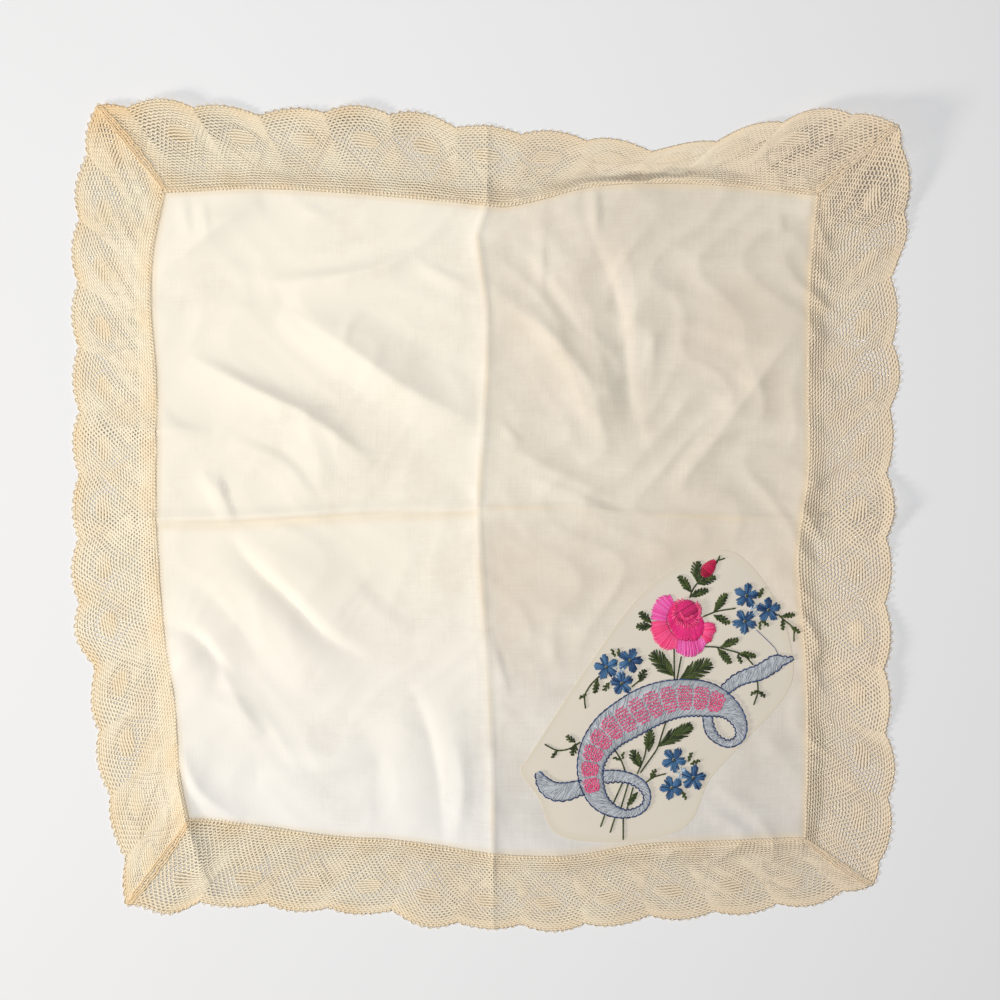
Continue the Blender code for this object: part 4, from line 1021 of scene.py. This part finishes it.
# The ribbon: each row is a point of its middle line and half its width there
ribbon = {
    "band": [(73.0, -67.4, 1.3), (73.3, -69.2, 1.4), (73.9, -72.2, 1.5), (76.9, -75.6, 1.1),
        (80.6, -76.9, 1.0), (84.1, -74.9, 1.3), (84.7, -71.6, 1.8), (83.3, -68.0, 2.5),
        (80.6, -64.9, 3.4), (74.5, -62.1, 5.3), (64.1, -61.3, 6.1), (53.3, -64.2, 6.7),
        (46.7, -67.9, 6.6), (39.9, -72.6, 5.9), (35.6, -78.2, 5.0), (33.7, -84.6, 4.2),
        (34.4, -90.8, 3.7), (36.6, -95.7, 2.9), (41.0, -99.2, 1.9), (45.5, -100.4, 1.2),
        (49.8, -99.5, 1.1), (52.5, -97.2, 0.9), (53.0, -93.9, 1.0), (51.3, -90.7, 1.4),
        (48.1, -88.6, 1.5), (44.2, -87.6, 1.7), (39.9, -87.6, 1.9), (38.2, -87.8, 1.9)],
    "left": [(31.6, -91.2, 2.2), (29.3, -91.7, 2.4), (26.0, -92.7, 2.8), (20.8, -92.3, 2.8),
        (17.8, -89.5, 2.0), (16.2, -86.2, 0.6)],
    "right": [(78.7, -58.9, 1.5), (80.2, -57.8, 1.7), (82.4, -55.9, 1.9), (86.1, -54.2, 2.1),
        (90.8, -52.8, 2.4), (95.5, -50.0, 2.4), (97.6, -48.9, 2.2), (98.9, -49.0, 1.1),
        (100.2, -48.7, 0.8), (102.3, -47.9, 0.2)],
    "node": {"band": "ribbon_band", "left": "ribbon_tail_left", "right": "ribbon_tail_right"},
    "scallop": 1.9, "scallopDepth": 0.5, "backing": 0.12, "backingStep": 0.8,
}


def ribbonPoint(rows, place, across):
    # place along the ribbon, 0 to 1, and across it from -1 on its right to 1 on its left
    line = alongPath(rows, place)
    ahead = alongPath(rows, np.clip(place + 0.004, 0, 1)) - alongPath(rows, np.clip(place - 0.004, 0, 1))
    ahead = ahead[:, :2] / np.hypot(*ahead[:, :2].T)[:, None]
    left = np.column_stack([-ahead[:, 1], ahead[:, 0]])
    return line[:, :2] + left * (across * line[:, 2])[:, None], ahead, line[:, 2]


def ribbonFill(rows):
    # loose slanting stitches, at random over the ribbon but never past its edge
    count = int(pathLength(rows) * np.asarray(rows)[:, 2].mean() * 2 * 0.9)
    place, across = draw.uniform(0.01, 0.99, count), draw.uniform(-0.8, 0.8, count)
    middle, ahead, half = ribbonPoint(rows, place, across)
    slant = np.radians(48 + draw.uniform(-14, 14, count))
    run = rays(np.arctan2(ahead[:, 1], ahead[:, 0]) + slant)
    room = np.minimum(half * (1 - np.abs(across)) / np.sin(slant) * 0.95, 2.2)[:, None]
    layer = 0.14 + draw.uniform(0, 0.08, count)
    return batch(middle - run * room, middle + run * room, 0.24, layer, tone=0.62, spread=0.28)


def ribbonEdge(rows, sideOf):
    # navy stitches along one edge, which bulges out between each two
    length = pathLength(rows)
    count = int(length / ribbon["scallop"])
    place = np.linspace(0.002, 0.998, count + 1)
    points, _, _ = ribbonPoint(rows, place, np.full(count + 1, float(sideOf)))
    bow = ribbon["scallopDepth"] * (1.0 if sideOf > 0 else -0.35)
    return batch(points[:-1], points[1:], 0.25, 0.32, bow=bow, tone=0.4, spread=0.4)


def makeRibbon(key):
    # a thin backing, a grid of five places across, under the fill and the two edges
    rows, node = ribbon[key], ribbon["node"][key]
    count = int(pathLength(rows) / ribbon["backingStep"])
    across = np.tile(np.linspace(-1.0, 1.08, 5), count)
    plan, _, _ = ribbonPoint(rows, np.repeat(np.linspace(0, 1, count), 5), across)
    x, y = (column.reshape(count, 5)[:, ::-1] for column in plan.T)
    under = patchTop(x, y) + 0.02
    points, quads = closedSheet(x, y, under, under + ribbon["backing"])
    uv, tone = np.zeros((len(points), 2)), np.full(len(points), 0.8)
    makePiece(node + "_backing", points, quads, floss["grey"], [], uv, tone)
    makeStitches(node + "_fill", floss["grey"], "ribbon_thread", [node], ribbonFill(rows))
    makeStitches(node + "_edge", floss["navy"], "blue_thread", [], ribbonEdge(rows, 1), ribbonEdge(rows, -1))


# Blocks of pink seed stitches along the ribbon: middle, and half sizes along and across it
seeds = {"blocks": 12, "first": 0.245, "last": 0.675, "along": 2.05, "across": 0.62}


def makeSeeds():
    # each block is a plain lozenge grid of tiny slanting stitches, the same all along the ribbon
    laid = []
    length = pathLength(ribbon["band"])
    for middle in np.linspace(seeds["first"], seeds["last"], seeds["blocks"]):
        row, column = np.meshgrid(np.linspace(-1, 1, 9), np.linspace(-1, 1, 7))
        keep = (np.abs(row) * 0.5 + np.abs(column) * 0.5 < 0.93).ravel()
        along = (column.ravel() * seeds["along"] + draw.uniform(-0.12, 0.12, column.size))[keep]
        across = (row.ravel() * seeds["across"] + draw.uniform(-0.03, 0.03, row.size))[keep]
        point, ahead, _ = ribbonPoint(ribbon["band"], middle + along / length, across)
        left = np.column_stack([-ahead[:, 1], ahead[:, 0]])
        hand = np.where(np.arange(len(point)) % 2, 1, -1)[:, None]
        run = (ahead + left * hand * 0.8) * 0.33
        laid.append(batch(point - run, point + run, 0.27, 0.42, tone=0.62, spread=0.38))
    makeStitches("seed_blocks", floss["seedPink"], "rose_thread", [], *laid)


def makeFloor():
    # a wide pale table just under the cloth
    table = {"reach": 4.0, "under": -0.00003, "colour": (240, 241, 244)}
    edge = np.linspace(-table["reach"], table["reach"], 5)
    x, y = np.meshgrid(edge, edge)
    mesh = bpy.data.meshes.new("floor")
    places = np.column_stack([x.ravel(), y.ravel(), np.full(25, table["under"])])
    mesh.from_pydata(places.tolist(), [], gridFaces(np.arange(25).reshape(5, 5)).tolist())
    finish, _, shader = newFinish("paleTable", 0.7)
    shader.inputs["Base Color"].default_value = linear(*table["colour"])
    mesh.materials.append(finish)
    floor = bpy.data.objects.new("floor", mesh)
    bpy.context.scene.collection.objects.link(floor)


def areaLight(name, place, size, power, colour):
    # a square lamp that looks at the middle of the cloth
    light = bpy.data.lights.new(name, "AREA")
    light.size, light.energy, light.color = size, power, colour
    lamp = bpy.data.objects.new(name, light)
    lamp.location = place
    lamp.rotation_euler = (-Vector(place)).to_track_quat("-Z", "Y").to_euler()
    bpy.context.scene.collection.objects.link(lamp)


def makeStudio():
    # a low window on the near left, a broad lamp above, a faint cool room and a straight-down camera
    areaLight("window", (-1.3, -0.5, 0.5), 0.26, 11.6, (1.0, 0.93, 0.84))
    areaLight("ceiling", (-0.16, 0.13, 1.1), 0.28, 8.6, (1.0, 0.98, 0.95))
    world = bpy.data.worlds.new("room")
    world.use_nodes = True
    for socket, value in {"Color": (0.82, 0.91, 1.0, 1), "Strength": 0.12}.items():
        world.node_tree.nodes["Background"].inputs[socket].default_value = value
    bpy.context.scene.world = world
    bpy.context.scene.view_settings.view_transform = "Standard"
    camera = {"lens": 50, "sensor": 36, "span": 0.337, "middle": (0.00353, 0.0055)}
    data = bpy.data.cameras.new("camera")
    data.lens, data.sensor_width = camera["lens"], camera["sensor"]
    eye = bpy.data.objects.new("camera", data)
    eye.location = (*camera["middle"], camera["span"] * camera["lens"] / camera["sensor"])
    bpy.context.scene.collection.objects.link(eye)
    bpy.context.scene.camera = eye


makeStudio()
makeFloor()
print("studio ready")
makeGround()
print("ground laid")
ecruThread = laceFinish()
for name in sides:
    makeLace(name)
    print(name, "worked")
makePatch()
makeRose()
makeBud()
middles = [makeFlower(number, *flower) for number, flower in enumerate(flowers, 1)]
makeStitches("cluster_stitches", floss["paleBlue"], "blue_thread", [], clusterStitches())
makeStitches("flower_knots", floss["olive"], "green_thread", [], *middles)
for name, (stems, leaves) in sprigs.items():
    makeSprig(name, stems, leaves)
makeStitches("stray_leaves", floss["green"], "green_thread", [], *leavesOf(strayLeaves, layer=0.05))
for key in ("band", "left", "right"):
    makeRibbon(key)
makeSeeds()
looseThread = [(89.8, -38.6), (93.4, -42.0), (95.8, -44.4), (97.2, -47.0)]
makeStitches("loose_thread", floss["navy"], "blue_thread", [], backStitch(looseThread, 3.0, 0.12))
print("patch stitched")
